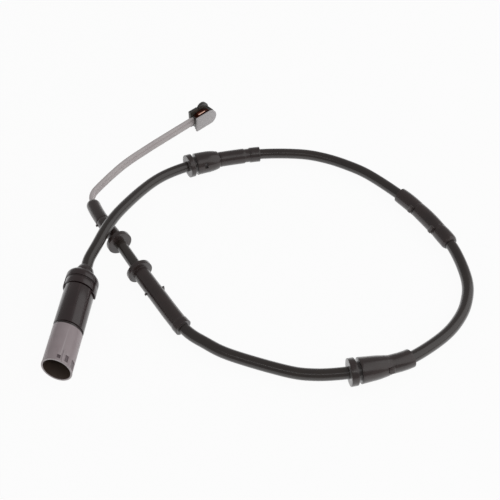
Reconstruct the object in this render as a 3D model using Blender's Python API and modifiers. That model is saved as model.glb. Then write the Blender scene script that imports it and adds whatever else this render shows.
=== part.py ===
"""Brake pad wear sensor: a plug connector, a cable with moulded grommets, and a clip-in sensor head.

Run with: blender --background --python part.py

Units are metres and +Z is up. The harness lies on the plane z = 0, as it lies on a bench.
One smooth line, HARNESS_ROUTE, runs through the middle of the cable and the sensor lead. It
starts where the cable jacket ends inside the connector and ends inside the sensor head, and
each piece has its place as a distance along that line.
"""

import math

import bmesh
import bpy
from mathutils import Matrix, Vector

COLLECTION = "brake_pad_wear_sensor"
CUTTERS = "cutters"

# Running gap between two pieces that touch on the real part
CLEAR = 0.0003

# How far a cutter reaches past the surface it cuts
OVERCUT = 0.001

# Cable and sensor lead
CABLE_D = 0.0048
CABLE_POINT_STEP = 0.0100
LEAD_CORE_D = 0.0021
LEAD_PITCH = 0.0018
LEAD_POINT_STEP = 0.0060
CONDUCTOR_D = 0.0010

# Moulded flanges, shared by every grommet
FLANGE_D = 0.0108
FLANGE_T = 0.0025
RING_T = 0.0020
EDGE_ROUND = 0.0003

# Grommets 1 and 3: flange, groove for the bracket, tapered body and a tail
GROOVE_D = 0.0074
GROOVE_W = 0.0016
BODY_D = 0.0103
BODY_SHOULDER_D = 0.0100
BODY_STRAIGHT = 0.55
BODY_END_D = 0.0082
BODY_LEN = 0.0109
NECK_D = 0.0068
NECK_W = 0.0008
GROMMET_1_AT = 0.0862
GROMMET_1_SLEEVE_D = 0.0071
GROMMET_1_SLEEVE_LEN = 0.0120
GROMMET_1_COLLAR_NECK = 0.0028
GROMMET_1_COLLAR_D = 0.0071
GROMMET_1_COLLAR_NECK_D = 0.0064
GROMMET_1_COLLAR_LEN = 0.0048
GROMMET_1_SLOT = (0.0013, 0.0024, 0.0012)
SLOT_ANGLE = 150.0
SLOT_ALONG = 0.50
GROMMET_3_AT = 0.3262
GROMMET_3_TAIL_D = 0.0075
GROMMET_3_TAIL_LEN = 0.0096
BUMP_ANGLE = 20.0

# Grommet 2: three moulded beads in a row
GROMMET_2_AT = 0.1944
GROMMET_2_BEADS = (0.0104, 0.0142, 0.0110)
BEAD_D = 0.0072
BEAD_GROOVE_D = 0.0066
BEAD_GROOVE_W = 0.0007
TOOTH = (0.0009, 0.0010, 0.0010)
TOOTH_ANGLE = 168.0

# Grommets 4 and 5: a ring flange on a long sleeve, set back to back
GROMMET_4_AT = 0.4298
GROMMET_4_SLEEVE_D = 0.0070
GROMMET_4_SLEEVE_LEN = 0.0308
GROMMET_4_LIP_D = 0.0074
GROMMET_4_LIP_LEN = 0.0030
GROMMET_5_AT = 0.4468
GROMMET_5_SLEEVE_D = 0.0062
GROMMET_5_NECK_LEN = 0.0147
GROMMET_5_TIP_LEN = 0.0138
SPUR_FROM_RING = 0.0130
SPUR = (0.0008, 0.0012, 0.0006)

# Splice between cable and lead, inside grommet 5
SPLICE_D = 0.0015
SPLICE_LEN = 0.0042
CABLE_END_IN_GROMMET_5 = 0.0140

# Connector, measured along its axis from the mating rim
PLUG_AXIS = (0.1148, 0.9907, 0.0750)
RIM_D = 0.0120
RIM_BAND = 0.0005
SHELL_D = 0.0118
SHELL_LEN = 0.0175
SOCKET_D = 0.0107
SOCKET_DEPTH = 0.0125
SPIGOT_D = 0.0096
SPIGOT_LEN = 0.0125
CARRIER_D = 0.0070
CARRIER_FLANGE_T = 0.0016
CARRIER_LEN = 0.0125
TERMINAL_PITCH = 0.0030
PIN_D = 0.0012
PIN_REACH = 0.0055
BARREL_D = 0.0020
BARREL_LEN = 0.0043
WIRE_D = 0.0017
SLEEVE_D = 0.0120
SLEEVE_LEN = 0.0183
SEAL_LEN = 0.0032
SEAL_LIP_H = 0.0005
CAP_D = 0.0137
CAP_BAND_D = 0.0131
CAP_BAND_LEN = 0.0033
CAP_DOME_LEN = 0.0043
CAP_SPIGOT_LEN = 0.0020
CAP_WALL = 0.0028
PRONG_REACH = 0.0022
PRONG_T = 0.0010
PRONG_W = 0.0046
BOOT_D = 0.0072
BOOT_END_D = 0.0062
BOOT_LEN = 0.0033
BOOT_NECK_D = 0.0064
BOOT_FLANGE_T = 0.0014
JACKET_INSIDE_CAP = 0.0033

# Marks on the shell near the rim: a rib between two pockets, and a latch window.
# Angles run from +X of the plug's frame, and 90 is its top.
RIB_ANGLE = 112.0
POCKET_TURN = 15.0
WINDOW_ANGLE = 180.0
RIB = (0.0007, 0.0007, 0.0050)
POCKET = (0.0015, 0.0003, 0.0034)
POCKET_FROM_RIM = 0.0012
WINDOW = (0.0030, 0.0038)
WINDOW_FROM_RIM = 0.0013

# Sensor head: along the lead, across it from the front plate, and up
HEAD_LEN = 0.0134
HEAD_DEPTH = 0.0064
HEAD_HEADING = 44.0
PLATE_H = 0.0076
PLATE_T = 0.0011
DECK_H = 0.0066
DECK_FROM_ENTRY = 0.0018
BODY_SHORT_OF_PLATE = 0.0010
NOSE_RUN = 0.0036
NOSE_RISE = 0.0023
REAR_WALL_T = 0.0015
REAR_WALL_H = 0.0089
REAR_WALL_FROM_ENTRY = 0.0006
KNOB_R = 0.0033
KNOB_FROM_ENTRY = 0.0090
KNOB_TOP = 0.0101
LEAD_DEPTH_IN_HEAD = 0.0045
LEAD_FROM_FRONT = 0.0040
LOOP_SLOT_LEN = 0.0068
CLIP_T = 0.0004
CLIP_FROM_ENTRY = 0.0033
CLIP_LEN = 0.0068
CLIP_RISE = 0.0007
CLIP_FOOT = 0.0010

# Sides of the round shapes
SHELL_SIDES = 36
MOULD_RESOLUTION = 8
CABLE_RESOLUTION = 3
SMALL_SIDES = 12

# Points along the middle of the harness, from inside the connector to inside the sensor head
HARNESS_ROUTE = [
    (-0.0736, -0.0365, 0.00896),
    (-0.0727, -0.0292, 0.00949),
    (-0.0721, -0.0236, 0.00990),
    (-0.0697, -0.0162, 0.01030),
    (-0.0664, -0.0059, 0.01065),
    (-0.0620, 0.0046, 0.00980),
    (-0.0536, 0.0196, 0.00765),
    (-0.0455, 0.0294, 0.00640),
    (-0.0346, 0.0367, 0.00558),
    (-0.0236, 0.0409, 0.00515),
    (-0.0115, 0.0446, 0.00440),
    (0.0021, 0.0476, 0.00365),
    (0.0188, 0.0478, 0.00320),
    (0.0300, 0.0452, 0.00310),
    (0.0405, 0.0401, 0.00320),
    (0.0502, 0.0332, 0.00340),
    (0.0626, 0.0201, 0.00365),
    (0.0705, 0.0096, 0.00365),
    (0.0768, -0.0013, 0.00365),
    (0.0821, -0.0132, 0.00360),
    (0.0845, -0.0295, 0.00340),
    (0.0821, -0.0413, 0.00345),
    (0.0767, -0.0510, 0.00375),
    (0.0689, -0.0593, 0.00415),
    (0.0564, -0.0683, 0.00490),
    (0.0468, -0.0720, 0.00525),
    (0.0366, -0.0744, 0.00545),
    (0.0288, -0.0758, 0.00535),
    (0.0184, -0.0757, 0.00435),
    (0.0080, -0.0736, 0.00360),
    (-0.0126, -0.0664, 0.00325),
    (-0.0226, -0.0610, 0.00345),
    (-0.0318, -0.0539, 0.00380),
    (-0.0440, -0.0372, 0.00485),
    (-0.0514, -0.0265, 0.00542),
    (-0.0618, -0.0103, 0.00542),
    (-0.0709, 0.0034, 0.00445),
    (-0.0763, 0.0138, 0.00345),
    (-0.0775, 0.0200, 0.00290),
    (-0.0752, 0.0262, 0.00250),
    (-0.0660, 0.0407, 0.00225),
    (-0.0554, 0.0523, 0.00240),
    (-0.0423, 0.0640, 0.00350),
    (-0.0348, 0.0705, 0.00420),
    (-0.0316, 0.0736, 0.00420),
]
ROUTE_STEPS = 10

COLOURS = {
    "black_rubber": ((0.022, 0.020, 0.019), 0.55, 0.0),
    "black_plastic": ((0.030, 0.026, 0.026), 0.42, 0.0),
    "black_jacket": ((0.026, 0.024, 0.022), 0.38, 0.0),
    "grey_plastic": ((0.240, 0.200, 0.205), 0.45, 0.0),
    "pale_plastic": ((0.400, 0.390, 0.385), 0.50, 0.0),
    "grey_insulation": ((0.330, 0.310, 0.305), 0.50, 0.0),
    "blue_seal": ((0.080, 0.130, 0.260), 0.60, 0.0),
    "copper": ((0.560, 0.250, 0.170), 0.30, 1.0),
    "tinned_brass": ((0.620, 0.600, 0.540), 0.30, 1.0),
}


def clear_scene():
    """Remove what is in the file and start the two collections."""
    for item in list(bpy.data.objects):
        bpy.data.objects.remove(item, do_unlink=True)
    for name in (COLLECTION, CUTTERS):
        old = bpy.data.collections.get(name)
        if old:
            bpy.data.collections.remove(old)
        bpy.context.scene.collection.children.link(bpy.data.collections.new(name))


def finish(colour):
    """Return the material of that name."""
    material = bpy.data.materials.get(colour)
    if material is None:
        rgb, roughness, metallic = COLOURS[colour]
        material = bpy.data.materials.new(colour)
        material.use_nodes = True
        shader = material.node_tree.nodes["Principled BSDF"]
        shader.inputs["Base Color"].default_value = (*rgb, 1.0)
        shader.inputs["Roughness"].default_value = roughness
        shader.inputs["Metallic"].default_value = metallic
    return material


def add_object(name, data, colour, place=None):
    """Link data to the parts, or to the cutters where there is no colour."""
    item = bpy.data.objects.new(name, data)
    if place is not None:
        item.matrix_world = place
    if colour:
        bpy.data.collections[COLLECTION].objects.link(item)
        data.materials.append(finish(colour))
    else:
        bpy.data.collections[CUTTERS].objects.link(item)
        item.hide_render = True
        item.display_type = "WIRE"
    return item


def as_mesh(item, colour):
    """Turn a curve or a modified object into a mesh object of the same name."""
    bpy.context.view_layer.update()
    solid = item.evaluated_get(bpy.context.evaluated_depsgraph_get())
    mesh = bpy.data.meshes.new_from_object(solid)
    name = item.name
    place = item.matrix_world.copy()
    bpy.data.objects.remove(item, do_unlink=True)
    shape = bmesh.new()
    shape.from_mesh(mesh)
    bmesh.ops.remove_doubles(shape, verts=shape.verts, dist=0.000002)
    bmesh.ops.recalc_face_normals(shape, faces=shape.faces)
    shape.to_mesh(mesh)
    shape.free()
    mesh.materials.clear()
    mesh.shade_smooth()
    mesh.set_sharp_from_angle(angle=math.radians(35))
    return add_object(name, mesh, colour, place)


def boolean(target, tool, operation):
    """Cut, join or meet target with tool."""
    step = target.modifiers.new(tool.name, "BOOLEAN")
    step.operation = operation
    step.solver = "EXACT"
    step.object = tool


def turned(name, profile, colour, place, sides=SHELL_SIDES):
    """Spin (radius, height) points about +Z; the outside runs from top to bottom.

    A profile that returns to its start on the inside leaves a bore. One that starts and ends
    on the axis is solid.
    """
    mesh = bpy.data.meshes.new(name)
    shape = bmesh.new()
    points = [shape.verts.new((radius, 0, height)) for radius, height in profile]
    for first, second in zip(points, points[1:]):
        shape.edges.new((first, second))
    if min(profile[0][0], profile[-1][0]) > 0:
        shape.edges.new((points[-1], points[0]))
    shape.to_mesh(mesh)
    shape.free()
    item = add_object(name, mesh, None, place)
    spin = item.modifiers.new("spin", "SCREW")
    spin.axis = "Z"
    spin.steps = sides
    spin.render_steps = sides
    spin.use_merge_vertices = True
    spin.merge_threshold = 0.00001
    return as_mesh(item, colour)


def box(name, size, colour, place):
    """A block of that size centred on its place."""
    mesh = bpy.data.meshes.new(name)
    shape = bmesh.new()
    bmesh.ops.create_cube(shape, size=1.0, matrix=Matrix.Diagonal((*size, 1.0)))
    shape.to_mesh(mesh)
    shape.free()
    return add_object(name, mesh, colour, place)


def rod(name, radius, start, end, colour, place, sides=SMALL_SIDES):
    """A round bar along +Z between two heights."""
    mesh = bpy.data.meshes.new(name)
    shape = bmesh.new()
    bmesh.ops.create_cone(
        shape,
        cap_ends=True,
        segments=sides,
        radius1=radius,
        radius2=radius,
        depth=end - start,
        matrix=Matrix.Translation((0, 0, (start + end) / 2)),
    )
    shape.to_mesh(mesh)
    shape.free()
    mesh.shade_smooth()
    mesh.set_sharp_from_angle(angle=math.radians(35))
    return add_object(name, mesh, colour, place)


class Route:
    """A smooth line through chosen points, read by the distance along it."""

    def __init__(self, points):
        ends = [Vector(point) for point in points]
        ends.insert(0, ends[0] * 2 - ends[1])
        ends.append(ends[-1] * 2 - ends[-2])
        self.points = []
        for before, first, second, after in zip(ends, ends[1:], ends[2:], ends[3:]):
            for step in range(ROUTE_STEPS):
                self.points.append(self.between(before, first, second, after, step / ROUTE_STEPS))
        self.points.append(ends[-2])
        self.marks = [0.0]
        for first, second in zip(self.points, self.points[1:]):
            self.marks.append(self.marks[-1] + (second - first).length)
        self.length = self.marks[-1]

    @staticmethod
    def between(before, first, second, after, share):
        """A point on the smooth curve from first to second."""
        return 0.5 * (
            2 * first
            + (second - before) * share
            + (2 * before - 5 * first + 4 * second - after) * share**2
            + (3 * first - before - 3 * second + after) * share**3
        )

    def at(self, distance):
        """The point at that distance; past an end the line runs on straight."""
        if distance <= 0:
            return self.points[0] + self.tangent(0) * distance
        if distance >= self.length:
            return self.points[-1] + self.tangent(self.length) * (distance - self.length)
        index = next(i for i, mark in enumerate(self.marks) if mark >= distance)
        span = self.marks[index] - self.marks[index - 1]
        share = (distance - self.marks[index - 1]) / span
        return self.points[index - 1].lerp(self.points[index], share)

    def tangent(self, distance):
        """The direction of travel there."""
        if distance <= 0:
            return (self.points[1] - self.points[0]).normalized()
        if distance >= self.length:
            return (self.points[-1] - self.points[-2]).normalized()
        half_window = 0.0008
        ahead = self.at(min(distance + half_window, self.length))
        return (ahead - self.at(max(distance - half_window, 0))).normalized()

    def frame(self, distance):
        """A frame with +Z along the line, +Y up and +X to its left."""
        along = self.tangent(distance)
        side = along.cross(Vector((0, 0, 1))).normalized()
        upward = side.cross(along)
        turn = Matrix((upward.cross(along), upward, along)).transposed().to_4x4()
        return Matrix.Translation(self.at(distance)) @ turn

    def spaced(self, start, end, step):
        """Distances from start to end, about step apart."""
        count = max(1, round((end - start) / step))
        return [start + (end - start) * i / count for i in range(count + 1)]


def swept(name, route, marks, colour, resolution, section=None):
    """A tube along the route through (distance, radius) marks, or of one fixed section."""
    curve = bpy.data.curves.new(name, "CURVE")
    curve.dimensions = "3D"
    curve.use_fill_caps = True
    curve.twist_mode = "Z_UP"
    widest = max(radius for _, radius in marks)
    if section:
        curve.bevel_mode = "OBJECT"
        curve.bevel_object = section
    else:
        curve.bevel_depth = widest
        curve.bevel_resolution = resolution
    spline = curve.splines.new("POLY")
    spline.points.add(len(marks) - 1)
    for point, (distance, radius) in zip(spline.points, marks):
        point.co = (*route.at(distance), 1.0)
        point.radius = radius / widest
    item = bpy.data.objects.new(name, curve)
    bpy.data.collections[CUTTERS].objects.link(item)
    return as_mesh(item, colour)


def moulding(name, route, profile, colour, start, direction=1):
    """A moulded body round the cable, from (distance from start, diameter) points."""
    marks = []
    bend_step = 0.003
    for (near, near_d), (far, far_d) in zip(profile, profile[1:]):
        count = max(1, math.ceil((far - near) / bend_step))
        for i in range(count):
            share = i / count
            marks.append((near + (far - near) * share, (near_d + (far_d - near_d) * share) / 2))
    marks.append((profile[-1][0], profile[-1][1] / 2))
    placed = [(start + direction * distance, radius) for distance, radius in marks]
    return swept(name, route, placed[::direction], colour, MOULD_RESOLUTION)


def step_out(distance, small, large):
    """Profile points for a sharp shoulder with a rounded outer edge."""
    rise = 0.00004
    return [
        (distance - rise, small),
        (distance, large - 2 * EDGE_ROUND),
        (distance + EDGE_ROUND * 0.3, large - 0.6 * EDGE_ROUND),
        (distance + EDGE_ROUND, large),
    ]


def step_in(distance, large, small):
    """The same shoulder where the body gets narrower."""
    mirrored = step_out(-distance, small, large)
    return [(-place, width) for place, width in reversed(mirrored)]


def cable_marks(route, radius):
    """Marks of an even tube along the cable's own points."""
    return [(distance, radius) for distance in route.spaced(0, cable_end(), CABLE_POINT_STEP)]


def lead_section(name, grow):
    """The outline of two round cores side by side, stood upright, grown by a gap."""
    curve = bpy.data.curves.new(name, "CURVE")
    curve.dimensions = "2D"
    radius = LEAD_CORE_D / 2 + grow
    waist = math.acos(min(1.0, LEAD_PITCH / 2 / radius))
    arc_points = 7
    outline = []
    for centre, middle in ((LEAD_PITCH / 2, math.pi / 2), (-LEAD_PITCH / 2, -math.pi / 2)):
        for i in range(arc_points):
            angle = middle + (waist - math.pi) * (1 - 2 * i / (arc_points - 1)) * -1
            if i < arc_points - 1:
                outline.append((radius * math.cos(angle), centre + radius * math.sin(angle)))
    spline = curve.splines.new("POLY")
    spline.points.add(len(outline) - 1)
    for point, (across, upright) in zip(spline.points, outline):
        point.co = (across, upright, 0, 1)
    spline.use_cyclic_u = True
    item = bpy.data.objects.new(name, curve)
    bpy.data.collections[CUTTERS].objects.link(item)
    item.hide_render = True
    return item


def bore_tool(route):
    """The room that the cable takes, for every piece that it passes through."""
    marks = cable_marks(route, CABLE_D / 2 + CLEAR)
    return swept("cable_room", route, marks, None, CABLE_RESOLUTION)


def cable_end():
    """Where the jacket stops inside grommet 5."""
    return GROMMET_5_AT + CABLE_END_IN_GROMMET_5


def lead_start():
    """Where the lead starts inside grommet 5, after the splice."""
    return cable_end() + SPLICE_LEN + 2 * CLEAR


def make_cable(route):
    """The black jacketed cable, from the connector to the splice."""
    marks = cable_marks(route, CABLE_D / 2)
    swept("cable", route, marks, "black_jacket", CABLE_RESOLUTION)


def make_lead(route):
    """The grey twin lead, from the splice to the sensor head."""
    section = lead_section("lead_outline", 0)
    marks = [(d, 1.0) for d in route.spaced(lead_start(), route.length, LEAD_POINT_STEP)]
    swept("sensor_lead", route, marks, "grey_insulation", 0, section)


def lead_tool(name, route, start, end):
    """The room that the lead takes between two distances."""
    section = lead_section(name + "_outline", CLEAR)
    whole = route.spaced(lead_start(), route.length, LEAD_POINT_STEP)
    inner = [distance for distance in whole if start < distance < end]
    marks = [(distance, 1.0) for distance in [start, *inner, end]]
    return swept(name, route, marks, None, 0, section)


def on_surface(route, distance, angle, radius):
    """A frame on a moulding's surface: +Y points out of it and +Z along the route."""
    turn = Matrix.Rotation(math.radians(angle - 90), 4, "Z")
    return route.frame(distance) @ turn @ Matrix.Translation((0, radius, 0))


def make_grommet_1(route, bore):
    """Flange, groove, tapered body, sleeve and collar."""
    body_from = FLANGE_T + GROOVE_W
    sleeve_from = body_from + BODY_LEN + NECK_W
    sleeve_to = sleeve_from + GROMMET_1_SLEEVE_LEN
    collar_from = sleeve_to + GROMMET_1_COLLAR_NECK
    end = collar_from + GROMMET_1_COLLAR_LEN
    profile = [(0, FLANGE_D - 2 * EDGE_ROUND), (EDGE_ROUND, FLANGE_D)]
    profile += step_in(FLANGE_T, FLANGE_D, GROOVE_D)
    profile += step_out(body_from, GROOVE_D, BODY_D)
    profile += [(body_from + BODY_LEN * BODY_STRAIGHT, BODY_SHOULDER_D)]
    profile += step_in(body_from + BODY_LEN, BODY_END_D, NECK_D)
    profile += step_out(sleeve_from, NECK_D, GROMMET_1_SLEEVE_D)
    profile += step_in(sleeve_to, GROMMET_1_SLEEVE_D, GROMMET_1_COLLAR_NECK_D)
    profile += step_out(collar_from, GROMMET_1_COLLAR_NECK_D, GROMMET_1_COLLAR_D)
    profile += [(end - EDGE_ROUND, GROMMET_1_COLLAR_D), (end, GROMMET_1_COLLAR_D - 2 * EDGE_ROUND)]
    grommet = moulding("grommet_1", route, profile, "black_rubber", GROMMET_1_AT)
    middle = GROMMET_1_AT + body_from + BODY_LEN * SLOT_ALONG
    place = on_surface(route, middle, SLOT_ANGLE, BODY_SHOULDER_D / 2)
    across, length, depth = GROMMET_1_SLOT
    slot = box("grommet_1_slot", (length, depth * 2, across), None, place)
    boolean(grommet, slot, "DIFFERENCE")
    boolean(grommet, bore, "DIFFERENCE")


def make_grommet_2(route, bore):
    """Three beads with shallow grooves between them and a tooth at each groove."""
    profile = [(0, BEAD_D - EDGE_ROUND), (EDGE_ROUND, BEAD_D)]
    grooves = [sum(GROMMET_2_BEADS[:bead]) for bead in range(1, len(GROMMET_2_BEADS))]
    for groove in grooves:
        profile += step_in(groove - BEAD_GROOVE_W, BEAD_D, BEAD_GROOVE_D)
        profile += step_out(groove, BEAD_GROOVE_D, BEAD_D)
    end = sum(GROMMET_2_BEADS)
    profile += [(end - 3 * EDGE_ROUND, BEAD_D), (end - EDGE_ROUND, BEAD_D - 1.2 * EDGE_ROUND)]
    profile += [(end, BEAD_D - 4 * EDGE_ROUND)]
    grommet = moulding("grommet_2", route, profile, "black_rubber", GROMMET_2_AT)
    for index, groove in enumerate(grooves):
        middle = GROMMET_2_AT + groove - BEAD_GROOVE_W - TOOTH[2] / 2
        place = on_surface(route, middle, TOOTH_ANGLE, BEAD_D / 2)
        tooth = box(f"grommet_2_tooth_{index + 1}", (TOOTH[0] * 2, *TOOTH[1:]), None, place)
        boolean(grommet, tooth, "UNION")
    boolean(grommet, bore, "DIFFERENCE")


def make_grommet_3(route, bore):
    """Flange, groove, tapered body and a short tail; the flange comes last on the route."""
    body_from = FLANGE_T + GROOVE_W
    tail_from = body_from + BODY_LEN + NECK_W
    end = tail_from + GROMMET_3_TAIL_LEN
    profile = [(0, FLANGE_D - 2 * EDGE_ROUND), (EDGE_ROUND, FLANGE_D)]
    profile += step_in(FLANGE_T, FLANGE_D, GROOVE_D)
    profile += step_out(body_from, GROOVE_D, BODY_D)
    profile += [(body_from + BODY_LEN * BODY_STRAIGHT, BODY_SHOULDER_D)]
    profile += step_in(body_from + BODY_LEN, BODY_END_D, NECK_D)
    profile += step_out(tail_from, NECK_D, GROMMET_3_TAIL_D)
    profile += [(end - 3 * EDGE_ROUND, GROMMET_3_TAIL_D)]
    profile += [(end - EDGE_ROUND, GROMMET_3_TAIL_D - 1.2 * EDGE_ROUND)]
    profile += [(end, GROMMET_3_TAIL_D - 4 * EDGE_ROUND)]
    grommet = moulding("grommet_3", route, profile, "black_rubber", GROMMET_3_AT, -1)
    middle = GROMMET_3_AT - tail_from + NECK_W / 2
    place = on_surface(route, middle, BUMP_ANGLE, NECK_D / 2)
    bump = box("grommet_3_bump", (TOOTH[0] * 2, TOOTH[1], NECK_W * 1.6), None, place)
    boolean(grommet, bump, "UNION")
    boolean(grommet, bore, "DIFFERENCE")


def add_spurs(grommet, route, distance, sleeve_d):
    """Two small moulding spurs on opposite sides of a sleeve."""
    for side, angle in enumerate((0, 180)):
        place = on_surface(route, distance, angle, sleeve_d / 2)
        spur = box(f"{grommet.name}_spur_{side + 1}", SPUR, None, place)
        boolean(grommet, spur, "UNION")


def make_grommet_4(route, bore):
    """Ring flange on a long sleeve with a lip at its far end."""
    lip_from = RING_T + GROMMET_4_SLEEVE_LEN
    end = lip_from + GROMMET_4_LIP_LEN
    profile = [(0, FLANGE_D - 2 * EDGE_ROUND), (EDGE_ROUND, FLANGE_D)]
    profile += step_in(RING_T, FLANGE_D, GROMMET_4_SLEEVE_D)
    profile += step_out(lip_from, GROMMET_4_SLEEVE_D, GROMMET_4_LIP_D)
    profile += [(end - EDGE_ROUND, GROMMET_4_LIP_D), (end, GROMMET_4_LIP_D - 2 * EDGE_ROUND)]
    grommet = moulding("grommet_4", route, profile, "black_rubber", GROMMET_4_AT, -1)
    add_spurs(grommet, route, GROMMET_4_AT - SPUR_FROM_RING, GROMMET_4_SLEEVE_D)
    boolean(grommet, bore, "DIFFERENCE")


def make_grommet_5(route, bore):
    """Ring flange on a sleeve in two beads; the lead leaves its rounded end."""
    tip_from = RING_T + GROMMET_5_NECK_LEN
    end = tip_from + GROMMET_5_TIP_LEN
    profile = [(0, FLANGE_D - 2 * EDGE_ROUND), (EDGE_ROUND, FLANGE_D)]
    profile += step_in(RING_T, FLANGE_D, GROMMET_5_SLEEVE_D)
    groove_d = GROMMET_5_SLEEVE_D - (BEAD_D - BEAD_GROOVE_D) * 0.5
    profile += step_in(tip_from - BEAD_GROOVE_W, GROMMET_5_SLEEVE_D, groove_d)
    profile += step_out(tip_from, groove_d, GROMMET_5_SLEEVE_D)
    profile += [(end - 5 * EDGE_ROUND, GROMMET_5_SLEEVE_D)]
    profile += [(end - 2 * EDGE_ROUND, GROMMET_5_SLEEVE_D - 2 * EDGE_ROUND)]
    profile += [(end, GROMMET_5_SLEEVE_D - 5 * EDGE_ROUND)]
    grommet = moulding("grommet_5", route, profile, "black_rubber", GROMMET_5_AT)
    add_spurs(grommet, route, GROMMET_5_AT + tip_from - BEAD_GROOVE_W, GROMMET_5_SLEEVE_D)
    boolean(grommet, bore, "DIFFERENCE")
    chamber_marks = [(cable_end() - CABLE_D / 2, CABLE_D / 2 + CLEAR)]
    chamber_marks += [(lead_start() + CLEAR, CABLE_D / 2 + CLEAR)]
    chamber = swept("splice_room", route, chamber_marks, None, CABLE_RESOLUTION)
    boolean(grommet, chamber, "DIFFERENCE")
    exit_tool = lead_tool("lead_exit", route, lead_start(), GROMMET_5_AT + end + OVERCUT)
    boolean(grommet, exit_tool, "DIFFERENCE")


def make_splices(route):
    """Two crimps that join the cable's cores to the lead's."""
    middle = cable_end() + CLEAR + SPLICE_LEN / 2
    for index, side in enumerate((-1, 1)):
        place = route.frame(middle) @ Matrix.Translation((0, side * LEAD_PITCH / 2, 0))
        half = SPLICE_LEN / 2
        rod(f"splice_crimp_{index + 1}", SPLICE_D / 2, -half, half, "tinned_brass", place)


def sleeve_end():
    """Distance from the rim to the rear edge of the connector sleeve."""
    return SHELL_LEN + CLEAR + SLEEVE_LEN


def cap_end():
    """Distance from the rim to the rear of the cap."""
    return sleeve_end() + CLEAR + CAP_BAND_LEN + CAP_DOME_LEN


def jacket_start():
    """Distance from the rim to the end of the cable jacket, inside the cap."""
    return sleeve_end() + JACKET_INSIDE_CAP


def plug_frame():
    """Frame of the connector: origin at the middle of the rim, +Z to the rear, +Y up."""
    along = Vector(PLUG_AXIS).normalized()
    side = Vector((0, 0, 1)).cross(along).normalized()
    turn = Matrix((side, along.cross(side), along)).transposed().to_4x4()
    rim = Vector(HARNESS_ROUTE[0]) - along * jacket_start()
    return Matrix.Translation(rim) @ turn


def terminal_sides():
    """Sideways places of the two terminals."""
    return [side * TERMINAL_PITCH / 2 for side in (-1, 1)]


def around(frame, angle, radius, height):
    """A frame on a round surface about +Z: +Y points out of it."""
    turn = Matrix.Rotation(math.radians(angle - 90), 4, "Z")
    return frame @ turn @ Matrix.Translation((0, radius, height))


def make_housing(frame):
    """Grey plug shell: open socket in front, spigot behind, rib, pockets and latch window."""
    shell_r = SHELL_D / 2
    rear = SHELL_LEN + SPIGOT_LEN
    profile = [
        (SPIGOT_D / 2, rear),
        (SPIGOT_D / 2, SHELL_LEN),
        (shell_r - EDGE_ROUND, SHELL_LEN),
        (shell_r, SHELL_LEN - EDGE_ROUND),
        (shell_r, RIM_BAND + EDGE_ROUND),
        (RIM_D / 2, RIM_BAND),
        (RIM_D / 2, EDGE_ROUND),
        (RIM_D / 2 - EDGE_ROUND, 0),
        (SOCKET_D / 2, 0),
        (SOCKET_D / 2, SOCKET_DEPTH),
        (CARRIER_D / 2 + CLEAR, SOCKET_DEPTH),
        (CARRIER_D / 2 + CLEAR, rear),
    ]
    housing = turned("connector_housing", profile, "grey_plastic", frame)
    for side in (-1, 1):
        middle = POCKET_FROM_RIM + POCKET[2] / 2
        place = around(frame, RIB_ANGLE + side * POCKET_TURN, shell_r, middle)
        pocket = box(f"rim_pocket_{side + 2}", (POCKET[0], POCKET[1] * 2, POCKET[2]), None, place)
        boolean(housing, pocket, "DIFFERENCE")
    rib_place = around(frame, RIB_ANGLE, shell_r, RIB[2] / 2 + EDGE_ROUND)
    boolean(housing, box("rim_rib", RIB, None, rib_place), "UNION")
    wall = (RIM_D - SOCKET_D) / 2
    window_middle = WINDOW_FROM_RIM + WINDOW[1] / 2
    window_place = around(frame, WINDOW_ANGLE, SOCKET_D / 2 + wall / 2, window_middle)
    window_size = (WINDOW[0], wall + 2 * OVERCUT, WINDOW[1])
    boolean(housing, box("latch_window", window_size, None, window_place), "DIFFERENCE")


def carrier_front():
    """Distance from the rim to the front face of the terminal carrier."""
    return SOCKET_DEPTH - CLEAR - CARRIER_FLANGE_T


def carrier_rear():
    """Distance from the rim to the rear face of the terminal carrier."""
    return carrier_front() + CARRIER_FLANGE_T + CARRIER_LEN


def make_carrier(frame):
    """Insert that holds the two terminals against the socket's floor."""
    flange_r = SOCKET_D / 2 - CLEAR
    step = carrier_front() + CARRIER_FLANGE_T
    profile = [
        (0, carrier_rear()),
        (CARRIER_D / 2, carrier_rear()),
        (CARRIER_D / 2, step),
        (flange_r, step),
        (flange_r, carrier_front()),
        (0, carrier_front()),
    ]
    carrier = turned("terminal_carrier", profile, "black_plastic", frame, SHELL_SIDES // 2)
    for index, side in enumerate(terminal_sides()):
        place = frame @ Matrix.Translation((side, 0, 0))
        ends = (carrier_front() - OVERCUT, carrier_rear() + OVERCUT)
        hole = rod(f"terminal_hole_{index + 1}", PIN_D / 2 + CLEAR, *ends, None, place)
        boolean(carrier, hole, "DIFFERENCE")


def make_terminals(frame):
    """Pin in front and crimp barrel behind, for each of the two cores."""
    barrel_from = carrier_rear() + CLEAR
    barrel_to = barrel_from + BARREL_LEN
    tip = PIN_D / 4
    profile = [
        (0, barrel_to),
        (BARREL_D / 2, barrel_to),
        (BARREL_D / 2, barrel_from),
        (PIN_D / 2, barrel_from),
        (PIN_D / 2, PIN_REACH + tip),
        (tip, PIN_REACH),
        (0, PIN_REACH),
    ]
    for index, side in enumerate(terminal_sides()):
        place = frame @ Matrix.Translation((side, 0, 0))
        turned(f"terminal_{index + 1}", profile, "tinned_brass", place, SMALL_SIDES)


def make_core_wires(frame):
    """The two insulated cores between the terminals and the cable jacket."""
    start = carrier_rear() + CLEAR + BARREL_LEN + CLEAR
    end = jacket_start() - CLEAR
    for index, side in enumerate(terminal_sides()):
        place = frame @ Matrix.Translation((side, 0, 0))
        rod(f"core_wire_{index + 1}", WIRE_D / 2, start, end, "grey_insulation", place)


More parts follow.
